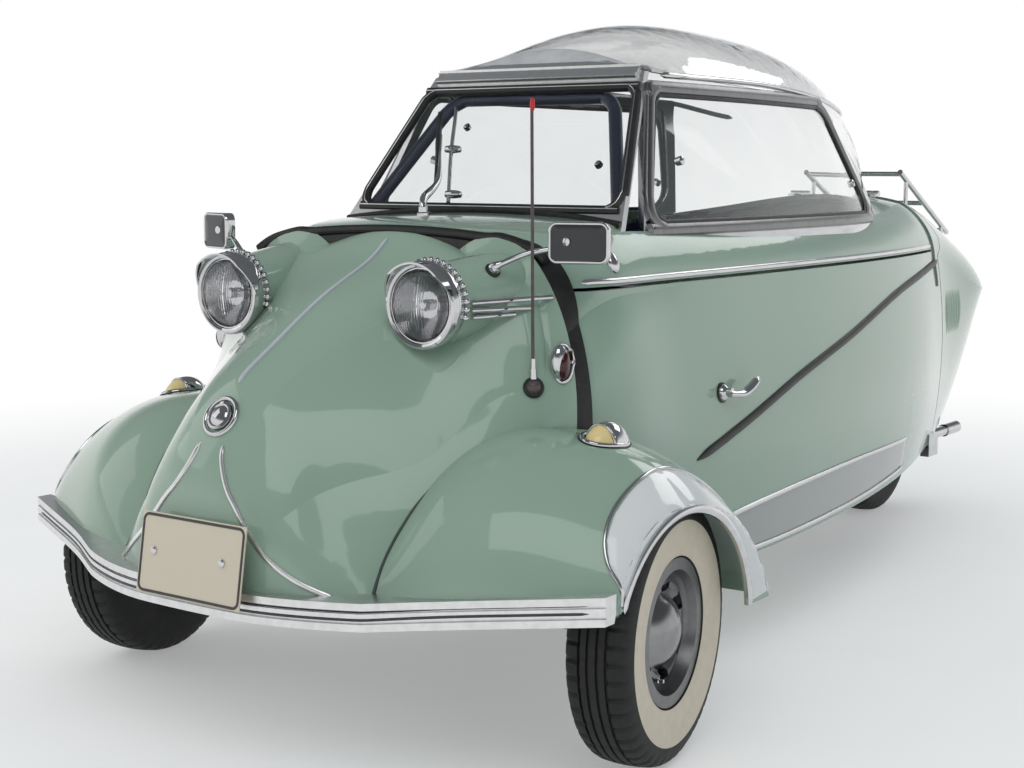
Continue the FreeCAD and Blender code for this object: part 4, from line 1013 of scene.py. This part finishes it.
mirror_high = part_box("mirrors")[1]
MIRROR = Vector((mirror_high[0] - 0.0485, at(0.019), mirror_high[2] - 0.0315))
# the mirror head's face towards the front is metal darkened to a near-black tone: painted reflection of dark
# surroundings
M_MIRROR_PAINTED_REFLECTION = bright_metal("mirror_back", (0.06, 0.062, 0.066), 0.06, 0.14, 20.0)
mirror_turn = math.radians(20)
mirror_out = Vector((math.sin(mirror_turn), -math.cos(mirror_turn), 0.0))
mirror_wide = Vector((math.cos(mirror_turn), math.sin(mirror_turn), 0.0))
SHELL = (
    (-0.01, 0.005), (-0.0112, 0.0022), (-0.0105, 0.0004), (-0.007, 0.0), (0.003, 0.0), (0.0062, 0.0005),
    (0.008, 0.002), (0.0082, 0.0042), (0.006, 0.0058),
)
SHELL_BACK = ((0.005, 0.0), (0.0064, 0.0), (0.007, 0.004), (0.0078, 0.01), (0.0082, 0.018))
PANE = ((0.0094, 0.0), (0.0104, 0.0), (0.0104, 0.01))


def plaque(name, out, half_wide, half_high, radius, rows, finish):
    """Part of a mirror's head with a rounded outline; rows are (distance out, amount drawn in)."""
    verts = []
    for far, inset in rows:
        verts.extend(rounded_loop(MIRROR + out * far, mirror_wide, UP, half_wide - inset, half_high - inset,
                                  max(radius - inset, 0.0015), 8))
    width = len(verts) // len(rows)
    faces = rings_joined(len(rows), width)
    faces.append(tuple(range(width)))
    faces.append(tuple(len(verts) - width + k for k in range(width)))
    return piece(name, verts, faces, finish, angle=40.0)


shell = both(plaque("mirror_shell_left", mirror_out, 0.049, 0.033, 0.015, SHELL, CHROME))
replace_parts(shell, "mirrors")
both(plaque("mirror_back_left", mirror_out, 0.0445, 0.0285, 0.011, SHELL_BACK, (M_MIRROR_PAINTED_REFLECTION, "chrome")))
both(plaque("mirror_glass_left", -mirror_out, 0.0445, 0.0285, 0.011, PANE, CHROME))
place, out = NOSE.near((0.262, at(-0.034), 0.745))
both(limb("mirror_arm_left", (
    (place - out * 0.004, 0.0085), (place + out * 0.01, 0.008),
    (place + out * 0.014 + Vector((0.006, 0.004, 0.002)), 0.0052),
    (place + Vector((0.052, 0.022, 0.028)), 0.0046), (MIRROR + Vector((-0.026, 0.0, -0.006)), 0.0042),
    (MIRROR + Vector((-0.014, -0.006, 0.002)), 0.005)), CHROME))
ARM_GROMMET = ((-0.003, 0.0125), (0.002, 0.013), (0.0042, 0.0115), (0.0048, 0.0))
ARM_FOOT = ((0.004, 0.01), (0.0085, 0.01), (0.0125, 0.008), (0.0145, 0.0))
CLAMP = ((-0.006, 0.0), (-0.006, 0.0065), (0.006, 0.0065), (0.0075, 0.0))
turned(place, out, (
    ("mirror_grommet_left", ARM_GROMMET, RUBBER, 32),
    ("mirror_foot_left", ARM_FOOT, CHROME, 32),
))
turned(MIRROR + Vector((-0.014, -0.01, 0.002)), AHEAD, (("mirror_clamp_left", CLAMP, CHROME, 24),))

HANDLE_GASKET = ((-0.001, 0.0185), (0.002, 0.0185), (0.0032, 0.0165), (0.0034, 0.0))
ROSETTE = (
    (0.003, 0.015), (0.006, 0.0148), (0.0095, 0.012), (0.0125, 0.0085), (0.022, 0.0075), (0.0235, 0.0),
)
LEVER = (
    # distance out, Y, Z, radius
    (0.018, -0.004, -0.002, 0.008), (0.022, 0.016, -0.005, 0.007), (0.024, 0.04, -0.006, 0.008),
    (0.025, 0.064, 0.002, 0.0088), (0.024, 0.084, 0.011, 0.008), (0.022, 0.096, 0.016, 0.0045),
)
handle_low, handle_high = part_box("latch_handle")
place, out = TUB.from_side(handle_low[1] + 0.01, (handle_low[2] + handle_high[2]) / 2)
turned(place, out, (
    ("handle_gasket", HANDLE_GASKET, RUBBER, 36),
    ("handle_rosette", ROSETTE, CHROME, 36),
))
knots = [(place + out * far + Vector((0.0, y, z)), radius) for far, y, z, radius in LEVER]
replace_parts(limb("handle_lever", knots, CHROME, flat=0.8), "latch_handle")

# ---------------------------------------------------------------- wiper and windscreen fittings

M_WIPER = dull("wiper_black", (0.018, 0.018, 0.019), (0.03, 0.03, 0.03), 0.35, 0.5)
SPINDLE = ((-0.002, 0.0125), (0.004, 0.012), (0.006, 0.009), (0.015, 0.0082), (0.017, 0.0))


def on_screen(*knots):
    """Knots for a limb a little in front of the windscreen, from (X, Z, lift, radius)."""
    return [(screen_place(x, z, 0.004) + screen_out * lift, radius) for x, z, lift, radius in knots]


place, out = HATCH_TOP.hit((-0.063, at(0.204), 1.0), DOWN)
lathe("wiper_spindle", SPINDLE, place, out, CHROME, "hatch", 28)
knots = [(place + out * 0.012, 0.0065), (place + out * 0.024 + Vector((-0.01, 0.016, 0.006)), 0.0078)]
knots += on_screen(
    (-0.11, 0.872, 0.024, 0.006), (-0.133, 0.925, 0.022, 0.0028), (-0.152, 0.962, 0.018, 0.0024))
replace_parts(limb("wiper_arm", knots, CHROME, "hatch", 0.7), "wiper")
knots = on_screen(
    (-0.126, 0.876, 0.01, 0.0042), (-0.15, 0.935, 0.011, 0.006), (-0.186, 1.01, 0.01, 0.0042))
limb("wiper_blade", knots, (M_WIPER, "rubber"), "hatch", 0.55)
knots = on_screen(
    (-0.136, 0.905, 0.014, 0.0034), (-0.152, 0.948, 0.022, 0.004), (-0.17, 0.985, 0.014, 0.0034))
limb("wiper_bridge", knots, (M_WIPER, "rubber"), "hatch", 0.8)

# rod, clamps and knobs behind the windscreen
ROD_BEHIND = 0.02
ROD = ((-0.098, 0.845), (-0.14, 0.94), (-0.17, 1.02), (-0.192, 1.045))
tube("screen_rod", [screen_place(x, z, ROD_BEHIND) for x, z in ROD], 0.004, CHROME, "hatch")
CLAMP_HALF = LEFT * 0.016
for n, (x, z) in enumerate(((-0.094, 0.86), (-0.138, 0.944))):
    spot = screen_place(x, z, ROD_BEHIND)
    knots = ((spot - CLAMP_HALF, 0.0065), (spot, 0.008), (spot + CLAMP_HALF, 0.0065))
    limb("screen_clamp_%d" % n, knots, CHROME, "hatch")
SCREEN_KNOB = ((-0.002, 0.0), (-0.002, 0.0075), (0.004, 0.007), (0.0075, 0.0045), (0.008, 0.0))
for n, (x, z) in enumerate(((0.209, 0.915), (-0.118, 0.985))):
    knob = ("screen_knob_%d" % n, SCREEN_KNOB, CHROME, 24)
    turned(screen_place(x, z, 0.012), screen_out, (knob,), "hatch")

# small chrome scoops on the deck below the windscreen's corners
for side_name, sign in (("left", 1.0), ("right", -1.0)):
    place, out = HATCH.hit((sign * 0.8, at(0.178), 0.757), (-sign, 0.0, 0.0))
    dome_on("deck_scoop_" + side_name, place, out, 0.0135, 0.02, 0.0105, CHROME, "hatch")

# ---------------------------------------------------------------- bumper grooves

CELL = 0.02
rows_at = {}
for vertex in frame["nodes"]["bumper_strip"].data.vertices:
    key = round(vertex.co.x / CELL)
    low, high = rows_at.get(key, (9.0, -9.0))
    rows_at[key] = (min(low, vertex.co.z), max(high, vertex.co.z))
# dark strips laid along the bumper's grooves: painted shade in the grooves
M_GROOVE_PAINTED_SHADE = dull("groove_dark", (0.03, 0.03, 0.032), (0.045, 0.045, 0.046), 0.35, 0.5)
GROOVE = crown(0.0042, 0.001, 0.001)
GROOVE_END_Y = -1.13
for n, share in enumerate((0.36, 0.66)):
    z = 0.251 + (rows_at[0][1] - rows_at[0][0] - 0.004) * share
    path = []
    for k in range(-58, 59):
        x = 0.588 * k / 58.0
        spot, _ = BUMPER.hit((x, -CLEAR_OF_CAR, z + max(0.0, abs(x) - 0.29) * 0.09), BACK)
        if spot is not None and spot.y < GROOVE_END_Y:
            path.append(spot)
    moulding("bumper_groove_%d" % n, BUMPER, path, GROOVE, (M_GROOVE_PAINTED_SHADE, "rubber"), step=0.01)

# ---------------------------------------------------------------- seats

M_CLOTH = dull("seat_vinyl", (0.01, 0.02, 0.075), (0.016, 0.028, 0.095), 0.42, 0.55, 300.0, 0.2, 0.0005)
M_PIPING = dull("seat_piping", (0.5, 0.51, 0.5), (0.44, 0.45, 0.44), 0.45, 0.55, 200.0)
SMALLER = 0.008
MOST_SWELL = 0.014
SWELL_FRAMES = 20


def swollen(thing, cap):
    """Puffs a closed mesh up by a short cloth simulation, with a limit on each point's move."""
    remesh = thing.modifiers.new("remesh", "REMESH")
    remesh.mode = "VOXEL"
    remesh.voxel_size = 0.006
    settled(thing)
    start = [v.co.copy() for v in thing.data.vertices]
    cloth = thing.modifiers.new("cloth", "CLOTH")
    cloth.settings.use_pressure = True
    cloth.settings.uniform_pressure_force = 4.0
    cloth.settings.effector_weights.gravity = 0.0
    cloth.settings.quality = 4
    for number in range(1, SWELL_FRAMES + 1):
        scene.frame_set(number)
    settled(thing)
    scene.frame_set(1)
    for vertex, first in zip(thing.data.vertices, start):
        move = vertex.co - first
        if move.length > cap:
            vertex.co = first + move * (cap / move.length)
    smooth = thing.modifiers.new("subdivide", "SUBSURF")
    smooth.levels = 1
    smooth.render_levels = 1
    settled(thing)
    for polygon in thing.data.polygons:
        polygon.use_smooth = True


def cushion_block(name, outline, half_wide):
    """Pad with a side outline of (Y, Z), swollen from a slightly smaller block."""
    corners = [Vector((0.0, y, z)) for y, z in outline]
    count = len(corners)
    middle = sum(corners, Vector()) / count
    verts = []
    for side in (-1.0, 1.0):
        for spot in corners:
            way = middle - spot
            spot = spot + way.normalized() * min(SMALLER, way.length * 0.5)
            verts.append(Vector((side * (half_wide - SMALLER), spot.y, spot.z)))
    faces = [tuple(range(count)), tuple(count + k for k in reversed(range(count)))]
    for k in range(count):
        m = (k + 1) % count
        faces.append((k, k + count, m + count, m))
    thing = piece(name, verts, faces, (M_CLOTH, "vinyl"), angle=60.0)
    bevel = thing.modifiers.new("bevel", "BEVEL")
    bevel.width = 0.016
    bevel.segments = 4
    settled(thing)
    swollen(thing, MOST_SWELL)
    thing.data.materials.clear()
    thing.data.materials.append(M_CLOTH)
    return thing


for node in ("driver_seat", "rear_seat"):
    seat_low, seat_high = (Vector(corner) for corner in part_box(node))
    half = (seat_high.x - seat_low.x) / 2 - 0.004
    front, rear, base, top = seat_low.y, seat_high.y, seat_low.z, seat_high.z
    seat_top = base + 0.112
    cushion = cushion_block(node + "_cushion", (
        (front + 0.004, base + 0.006), (rear - 0.075, base + 0.006), (rear - 0.125, seat_top),
        (front + 0.004, seat_top - 0.01)), half)
    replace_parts(cushion, node)
    back = cushion_block(node + "_back", (
        (rear - 0.14, seat_top + 0.01), (rear - 0.068, seat_top - 0.05), (rear - 0.006, top - 0.006),
        (rear - 0.062, top - 0.006)), half)
    for label, owner in (("cushion", cushion), ("back", back)):
        surface = BVHTree.FromPolygons([v.co.copy() for v in owner.data.vertices],
                                       [tuple(p.vertices) for p in owner.data.polygons])
        for n, share in enumerate((-0.5, 0.0, 0.5)):
            spots = []
            normals = []
            for k in range(25):
                t = k / 24.0
                y, z, way = rear - 0.3, seat_top + 0.03 + (top - 0.06 - seat_top) * t, BACK
                if label == "cushion":
                    y, z, way = front + 0.02 + (rear - 0.15 - front) * t, base + 0.4, DOWN
                spot, normal, _, _ = surface.ray_cast((half * share, y, z), way)
                if spot is not None:
                    spots.append(spot)
                    normals.append(normal if normal.dot(way) < 0 else -normal)
            if len(spots) > 4:
                strip("%s_%s_piping_%d" % (node, label, n), spots, evened(normals), crown(0.0055, 0.0024),
                      (M_PIPING, "vinyl"))

# ---------------------------------------------------------------- lamps on the wings


def egg(name, centre, half, keep, finish):
    """Part of an egg-shaped shell; keep says which directions from the centre are kept."""
    rings = 28
    count = 56
    shape = bmesh.new()
    corners = []
    kept = []
    for j in range(rings + 1):
        lean = math.pi * j / rings
        for c, s in circle(count):
            way = Vector((math.sin(lean) * c, math.sin(lean) * s, math.cos(lean)))
            kept.append(keep(way))
            corners.append(shape.verts.new(centre + way * Vector(half)))
    for face in rings_joined(rings + 1, count):
        if all(kept[i] for i in face):
            shape.faces.new([corners[i] for i in face])
    bmesh.ops.remove_doubles(shape, verts=shape.verts, dist=1e-5)
    bmesh.ops.delete(shape, geom=[v for v in shape.verts if not v.link_faces], context="VERTS")
    thing = piece(name, *taken(shape), finish, angle=50.0)
    thing.modifiers.new("wall", "SOLIDIFY").thickness = 0.0015
    return settled(thing)


crest = Vector((crest_x, crest_mid + 0.004, foot_high[2] - 0.034))
SHELL_HALF = Vector((0.03, 0.05, 0.042))
shell = egg("wing_lamp_shell_left", crest, SHELL_HALF,
            lambda w: w.z > -0.25 and (w.y > -0.36 or w.z < 0.15), CHROME)
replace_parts(shell, "fender_lamps")
both(shell)
cover = egg("wing_lamp_lens_left", crest + Vector((0.0, -0.0005, 0.0005)), (0.029, 0.049, 0.041),
            lambda w: w.y < -0.28 and w.z > 0.0, (M_AMBER, "plastic"))
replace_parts(cover, "fender_lamp_lenses")
both(cover)
split = []
for k in range(25):
    turn = math.pi * k / 24.0
    way = Vector((math.cos(turn) * 0.93, -0.35, math.sin(turn) * 0.93))
    split.append(crest + way * SHELL_HALF * 1.02)
both(tube("wing_lamp_split_left", split, 0.0017, CHROME, step=0.003))

# ---------------------------------------------------------------- hatch and deck

# the right belt strip stops short of the two hinges
HINGE_LENGTH = 0.062
HINGE_GAP = 0.012
hinge_low, hinge_high = (corner[1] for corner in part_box("hatch_hinge_pins"))
BELT_RUNS = (
    (belt_y[0], hinge_low - HINGE_GAP),
    (hinge_low + HINGE_LENGTH + HINGE_GAP, hinge_high - HINGE_LENGTH - HINGE_GAP),
    (hinge_high + HINGE_GAP, belt_y[-1]),
)
for n, (start, end) in enumerate(BELT_RUNS):
    spots = HATCH.along([(start + (end - start) * k / 12.0, belt_z) for k in range(13)])
    if len(spots) > 2:
        line = [Vector((-spot.x, spot.y, spot.z)) for spot in spots]
        moulding("belt_strip_right_%d" % n, HATCH, line, BELT, ALU, "hatch")

EDGE = (
    (0.1, 0.834, 0.846), (0.17, 0.834, 0.836), (0.222, 0.834, 0.812), (0.252, 0.836, 0.778),
    (0.266, 0.838, 0.738), (0.272, 0.84, 0.692), (0.276, 0.842, 0.62),
)
# a darker copy of the body green laid along the deck edge: painted shade
M_DECK_EDGE_PAINTED_SHADE = paint("paint_green_painted_shade", (0.12, 0.175, 0.14), (0.105, 0.16, 0.125))
both(moulding("deck_edge_left", TUB, EDGE, crown(0.0095, 0.0045), (M_DECK_EDGE_PAINTED_SHADE, "paint_green"), step=0.01))

# navy lining inside the hatch
LINING_COLUMNS = 60
verts = []
for i in range(LINING_COLUMNS + 1):
    y = at(0.33 + (1.66 - 0.33) * i / LINING_COLUMNS)
    for j in range(PANEL_ROWS + 1):
        z = 0.738 + 0.068 * j / PANEL_ROWS
        spot, _ = HATCH.hit((0.0, y, z), LEFT)
        if spot is None:
            spot, _ = HATCH.near((0.3, y, z))
        inside = 0 < j < PANEL_ROWS and 0 < i < LINING_COLUMNS
        verts.append(spot - LEFT * (0.0015 if inside else 0.0004))
both(piece("hatch_lining_left", verts, sheet(LINING_COLUMNS, PANEL_ROWS), (M_NAVY, "vinyl"), "hatch"))

# ---------------------------------------------------------------- tail

lamp_body = BODY_OF["tail_lamps"]
lamp_low, lamp_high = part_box("tail_lamps")
lamp_r = (lamp_high[2] - lamp_low[2]) / 2
lamp_at = Vector((lamp_high[0] - lamp_r, lamp_high[1] - 0.004, (lamp_low[2] + lamp_high[2]) / 2))
M_LAMP_RED = clear("tail_lamp_glass", (0.6, 0.012, 0.015), 0.05)
M_LAMP_BACK = paint("tail_lamp_back", (0.42, 0.01, 0.012), (0.34, 0.008, 0.01))
LAMP_BEZEL = (
    (-0.01, lamp_r + 0.0005), (-0.002, lamp_r + 0.0035), (0.003, lamp_r + 0.003), (0.0055, lamp_r - 0.001),
    (0.005, lamp_r - 0.004), (0.0, lamp_r - 0.0045),
)
LAMP_BACK = ((0.0025, lamp_r - 0.0045), (0.0046, 0.015), (0.0052, 0.0))
LAMP_GLASS = (
    (0.004, lamp_r - 0.004), (0.0085, lamp_r - 0.006), (0.0125, 0.012), (0.014, 0.006), (0.0144, 0.0),
)
bezel = both(lathe("tail_lamp_bezel_left", LAMP_BEZEL, lamp_at, BACK, CHROME, lamp_body, 56))
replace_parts(bezel, "tail_lamps")
turned(lamp_at, BACK, (
    ("tail_lamp_back_left", LAMP_BACK, (M_LAMP_BACK, "plastic"), 48),
    ("tail_lamp_glass_left", LAMP_GLASS, (M_LAMP_RED, "glass"), 48),
), lamp_body)

# pressed louvres, each a hood open to the rear
LOUVRE_STEPS = 12
LOUVRE_RISE = 0.005
LOUVRE_LENGTH = 0.013
for n in range(6):
    verts = []
    for i in range(LOUVRE_STEPS + 1):
        t = i / LOUVRE_STEPS
        spot, normal = TAIL.flank(0.25, at(1.9 + 0.024 * n), 0.5 + 0.11 * t)
        rise = LOUVRE_RISE * math.sin(math.pi * t) ** 0.6 if 0 < i < LOUVRE_STEPS else 0.0
        front, _ = TAIL.near(spot + AHEAD * LOUVRE_LENGTH)
        verts += [front, (spot + front) / 2 + normal * rise * 0.75, spot + normal * rise]
        verts.append(spot - normal * 0.001)
    both(piece("tail_louvre_left_%d" % n, verts, sheet(LOUVRE_STEPS, 3), (M_GREEN, "paint_green"),
               BODY_OF["tail_shell"], 50.0))

# ---------------------------------------------------------------- front of the dome and the deck seam

# an opaque grey band over the clear front wall of the dome: painted reflection standing in for the grey the
# acrylic reflects
M_DOME_PAINTED_REFLECTION = dull("dome_front_painted_reflection", (0.42, 0.425, 0.43), (0.5, 0.505, 0.51), 0.3, 0.4, 30.0)
ABOVE_DOME = 1.4
ABOVE_DECK = 1.2
NEARLY_LEVEL = 0.72
BAND_COLUMNS = 44
BAND_ROWS = 6
foot_z = frame_high[2] - 0.012
verts = []
for i in range(BAND_COLUMNS + 1):
    x = 0.24 * (2.0 * i / BAND_COLUMNS - 1.0)
    foot = screen_place(x, foot_z, 0.004)
    top = foot + Vector((0.0, 0.004, 0.004))
    for k in range(110):
        spot, out = DOME.hit((x, -0.482 + 0.001 * k, ABOVE_DOME), DOWN)
        if spot is not None and out.z > NEARLY_LEVEL:
            top = spot
            break
    for j in range(BAND_ROWS + 1):
        t = j / BAND_ROWS
        verts.append(foot.lerp(top, t) + Vector((0.0, -0.006, 0.004)) * math.sin(math.pi * t))
piece("dome_front_band", verts, sheet(BAND_COLUMNS, BAND_ROWS), (M_DOME_PAINTED_REFLECTION, "alu"), "hatch", 60.0)

seam_line = []
for k in range(-60, 61):
    x = 0.315 * k / 60.0
    found = []
    for step in range(80):
        spot, _ = BEAD.hit((x, -0.85 - 0.001 * step, ABOVE_DECK), DOWN)
        if spot is not None:
            found.append(spot)
        elif found:
            break
    if not found:
        continue
    middle_y = found[len(found) // 2].y
    height = max(spot.z for spot in found)
    hump = height
    for step in range(20):
        spot, _ = NOSE.hit((x, middle_y - 0.002 * step, ABOVE_DECK), DOWN)
        if spot is not None:
            hump = max(hump, spot.z)
    seam_line.append(Vector((x, middle_y - 0.006, max(height - 0.005, hump - 0.004))))
for _ in range(4):
    seam_line = softened(seam_line)
tube("deck_seam_band", seam_line, 0.0085, RUBBER)

# ---------------------------------------------------------------- camera, floor and light

CAMERA_AT = (1.828, -3.105, 0.907)
YAW = math.radians(35.63)
PITCH = math.radians(-7.29)
ROLL = math.radians(0.24)
camera_data = bpy.data.cameras.new("camera")
camera_data.lens = 58.9
camera_data.sensor_width = 36.0
camera = bpy.data.objects.new("camera", camera_data)
aim = Euler((math.pi / 2 + PITCH, 0.0, YAW)).to_matrix() @ Matrix.Rotation(ROLL, 3, "Z")
camera.matrix_world = Matrix.Translation(CAMERA_AT) @ aim.to_4x4()
scene.collection.objects.link(camera)
scene.camera = camera

floor_mesh = bpy.data.meshes.new("floor")
shape = bmesh.new()
bmesh.ops.create_grid(shape, x_segments=8, y_segments=8, size=14.0)
shape.to_mesh(floor_mesh)
shape.free()
floor = bpy.data.objects.new("floor", floor_mesh)
scene.collection.objects.link(floor)
ground = Nodes("floor_pale")
ground.color(ground.noise(3.0), (0.9, 0.9, 0.9), (0.92, 0.92, 0.92))
ground.set(Roughness=0.8)
floor_mesh.materials.append(ground.material)


def seen_rays(tree):
    """1 for camera, glossy and transmission rays, 0 for the light that falls on things."""
    path = add_node(tree, "ShaderNodeLightPath")
    seen = path.outputs["Is Camera Ray"]
    for kind in ("Is Glossy Ray", "Is Transmission Ray"):
        either = add_node(tree, "ShaderNodeMath", operation="MAXIMUM")
        tree.links.new(seen, either.inputs[0])
        tree.links.new(path.outputs[kind], either.inputs[1])
        seen = either.outputs[0]
    return seen


# the floor keeps its shadow near the car and turns to plain white further out
SHADOW_END = 1.7
WHITE_FROM = 3.8
far = ground.add("ShaderNodeVectorMath", operation="LENGTH")
edge = ground.add("ShaderNodeMapRange", interpolation_type="SMOOTHSTEP", To_Min=0.3,
                  From_Min=SHADOW_END, From_Max=WHITE_FROM)
share = ground.add("ShaderNodeMath", operation="MULTIPLY")
white = ground.add("ShaderNodeEmission")
blend = ground.add("ShaderNodeMixShader")
for source, target in (
    (ground.coords.outputs["Object"], far.inputs[0]),
    (far.outputs["Value"], edge.inputs["Value"]),
    (edge.outputs["Result"], share.inputs[0]),
    (seen_rays(ground.tree), share.inputs[1]),
    (share.outputs[0], blend.inputs[0]),
    (ground.shader.outputs[0], blend.inputs[1]),
    (white.outputs[0], blend.inputs[2]),
    (blend.outputs[0], ground.tree.nodes["Material Output"].inputs["Surface"]),
):
    ground.link(source, target)

# studio: seen directly or in reflections it is pale low down and darker above; its light is even and soft
world = bpy.data.worlds.new("studio")
world.use_nodes = True
scene.world = world
tree = world.node_tree
background = tree.nodes["Background"]
background.inputs["Strength"].default_value = 1.0
way = add_node(tree, "ShaderNodeTexCoord")
parts = add_node(tree, "ShaderNodeSeparateXYZ")
sky = add_node(tree, "ShaderNodeValToRGB")
stops = sky.color_ramp.elements
stops[0].position = 0.18
stops[0].color = (1.0, 1.0, 1.0, 1.0)
stops[1].position = 0.36
stops[1].color = (0.15, 0.16, 0.17, 1.0)
stops.new(0.26).color = (0.45, 0.48, 0.5, 1.0)
side = add_node(tree, "ShaderNodeMapRange", From_Min=0.2, From_Max=0.8)
soft = add_node(tree, "ShaderNodeMix", data_type="RGBA",
                A=(0.7, 0.72, 0.73, 1.0), B=(0.42, 0.5, 0.54, 1.0))
choose = add_node(tree, "ShaderNodeMix", data_type="RGBA")
for source, target in (
    (way.outputs["Generated"], parts.inputs["Vector"]),
    (parts.outputs["Z"], sky.inputs["Fac"]),
    (parts.outputs["X"], side.inputs["Value"]),
    (side.outputs["Result"], soft.inputs["Factor"]),
    (soft.outputs["Result"], choose.inputs["A"]),
    (seen_rays(tree), choose.inputs["Factor"]),
    (sky.outputs["Color"], choose.inputs["B"]),
    (choose.outputs["Result"], background.inputs["Color"]),
):
    tree.links.new(source, target)


def area_light(name, place, target, width, height, power):
    """Soft rectangular lamp pointed at a place."""
    data = bpy.data.lights.new(name, "AREA")
    data.shape = "RECTANGLE"
    data.size = width
    data.size_y = height
    data.energy = power
    light = bpy.data.objects.new(name, data)
    way = Vector(target) - Vector(place)
    light.matrix_world = Matrix.Translation(place) @ way.to_track_quat("-Z", "Y").to_matrix().to_4x4()
    scene.collection.objects.link(light)


area_light("key", (2.2, -3.8, 4.6), (0.0, -0.2, 0.5), 4.0, 2.6, 60.0)
area_light("fill", (-3.6, -2.6, 2.8), (0.0, -0.2, 0.6), 3.0, 2.5, 22.0)
area_light("back", (1.0, 4.2, 3.4), (0.0, 0.4, 0.7), 3.0, 1.5, 30.0)
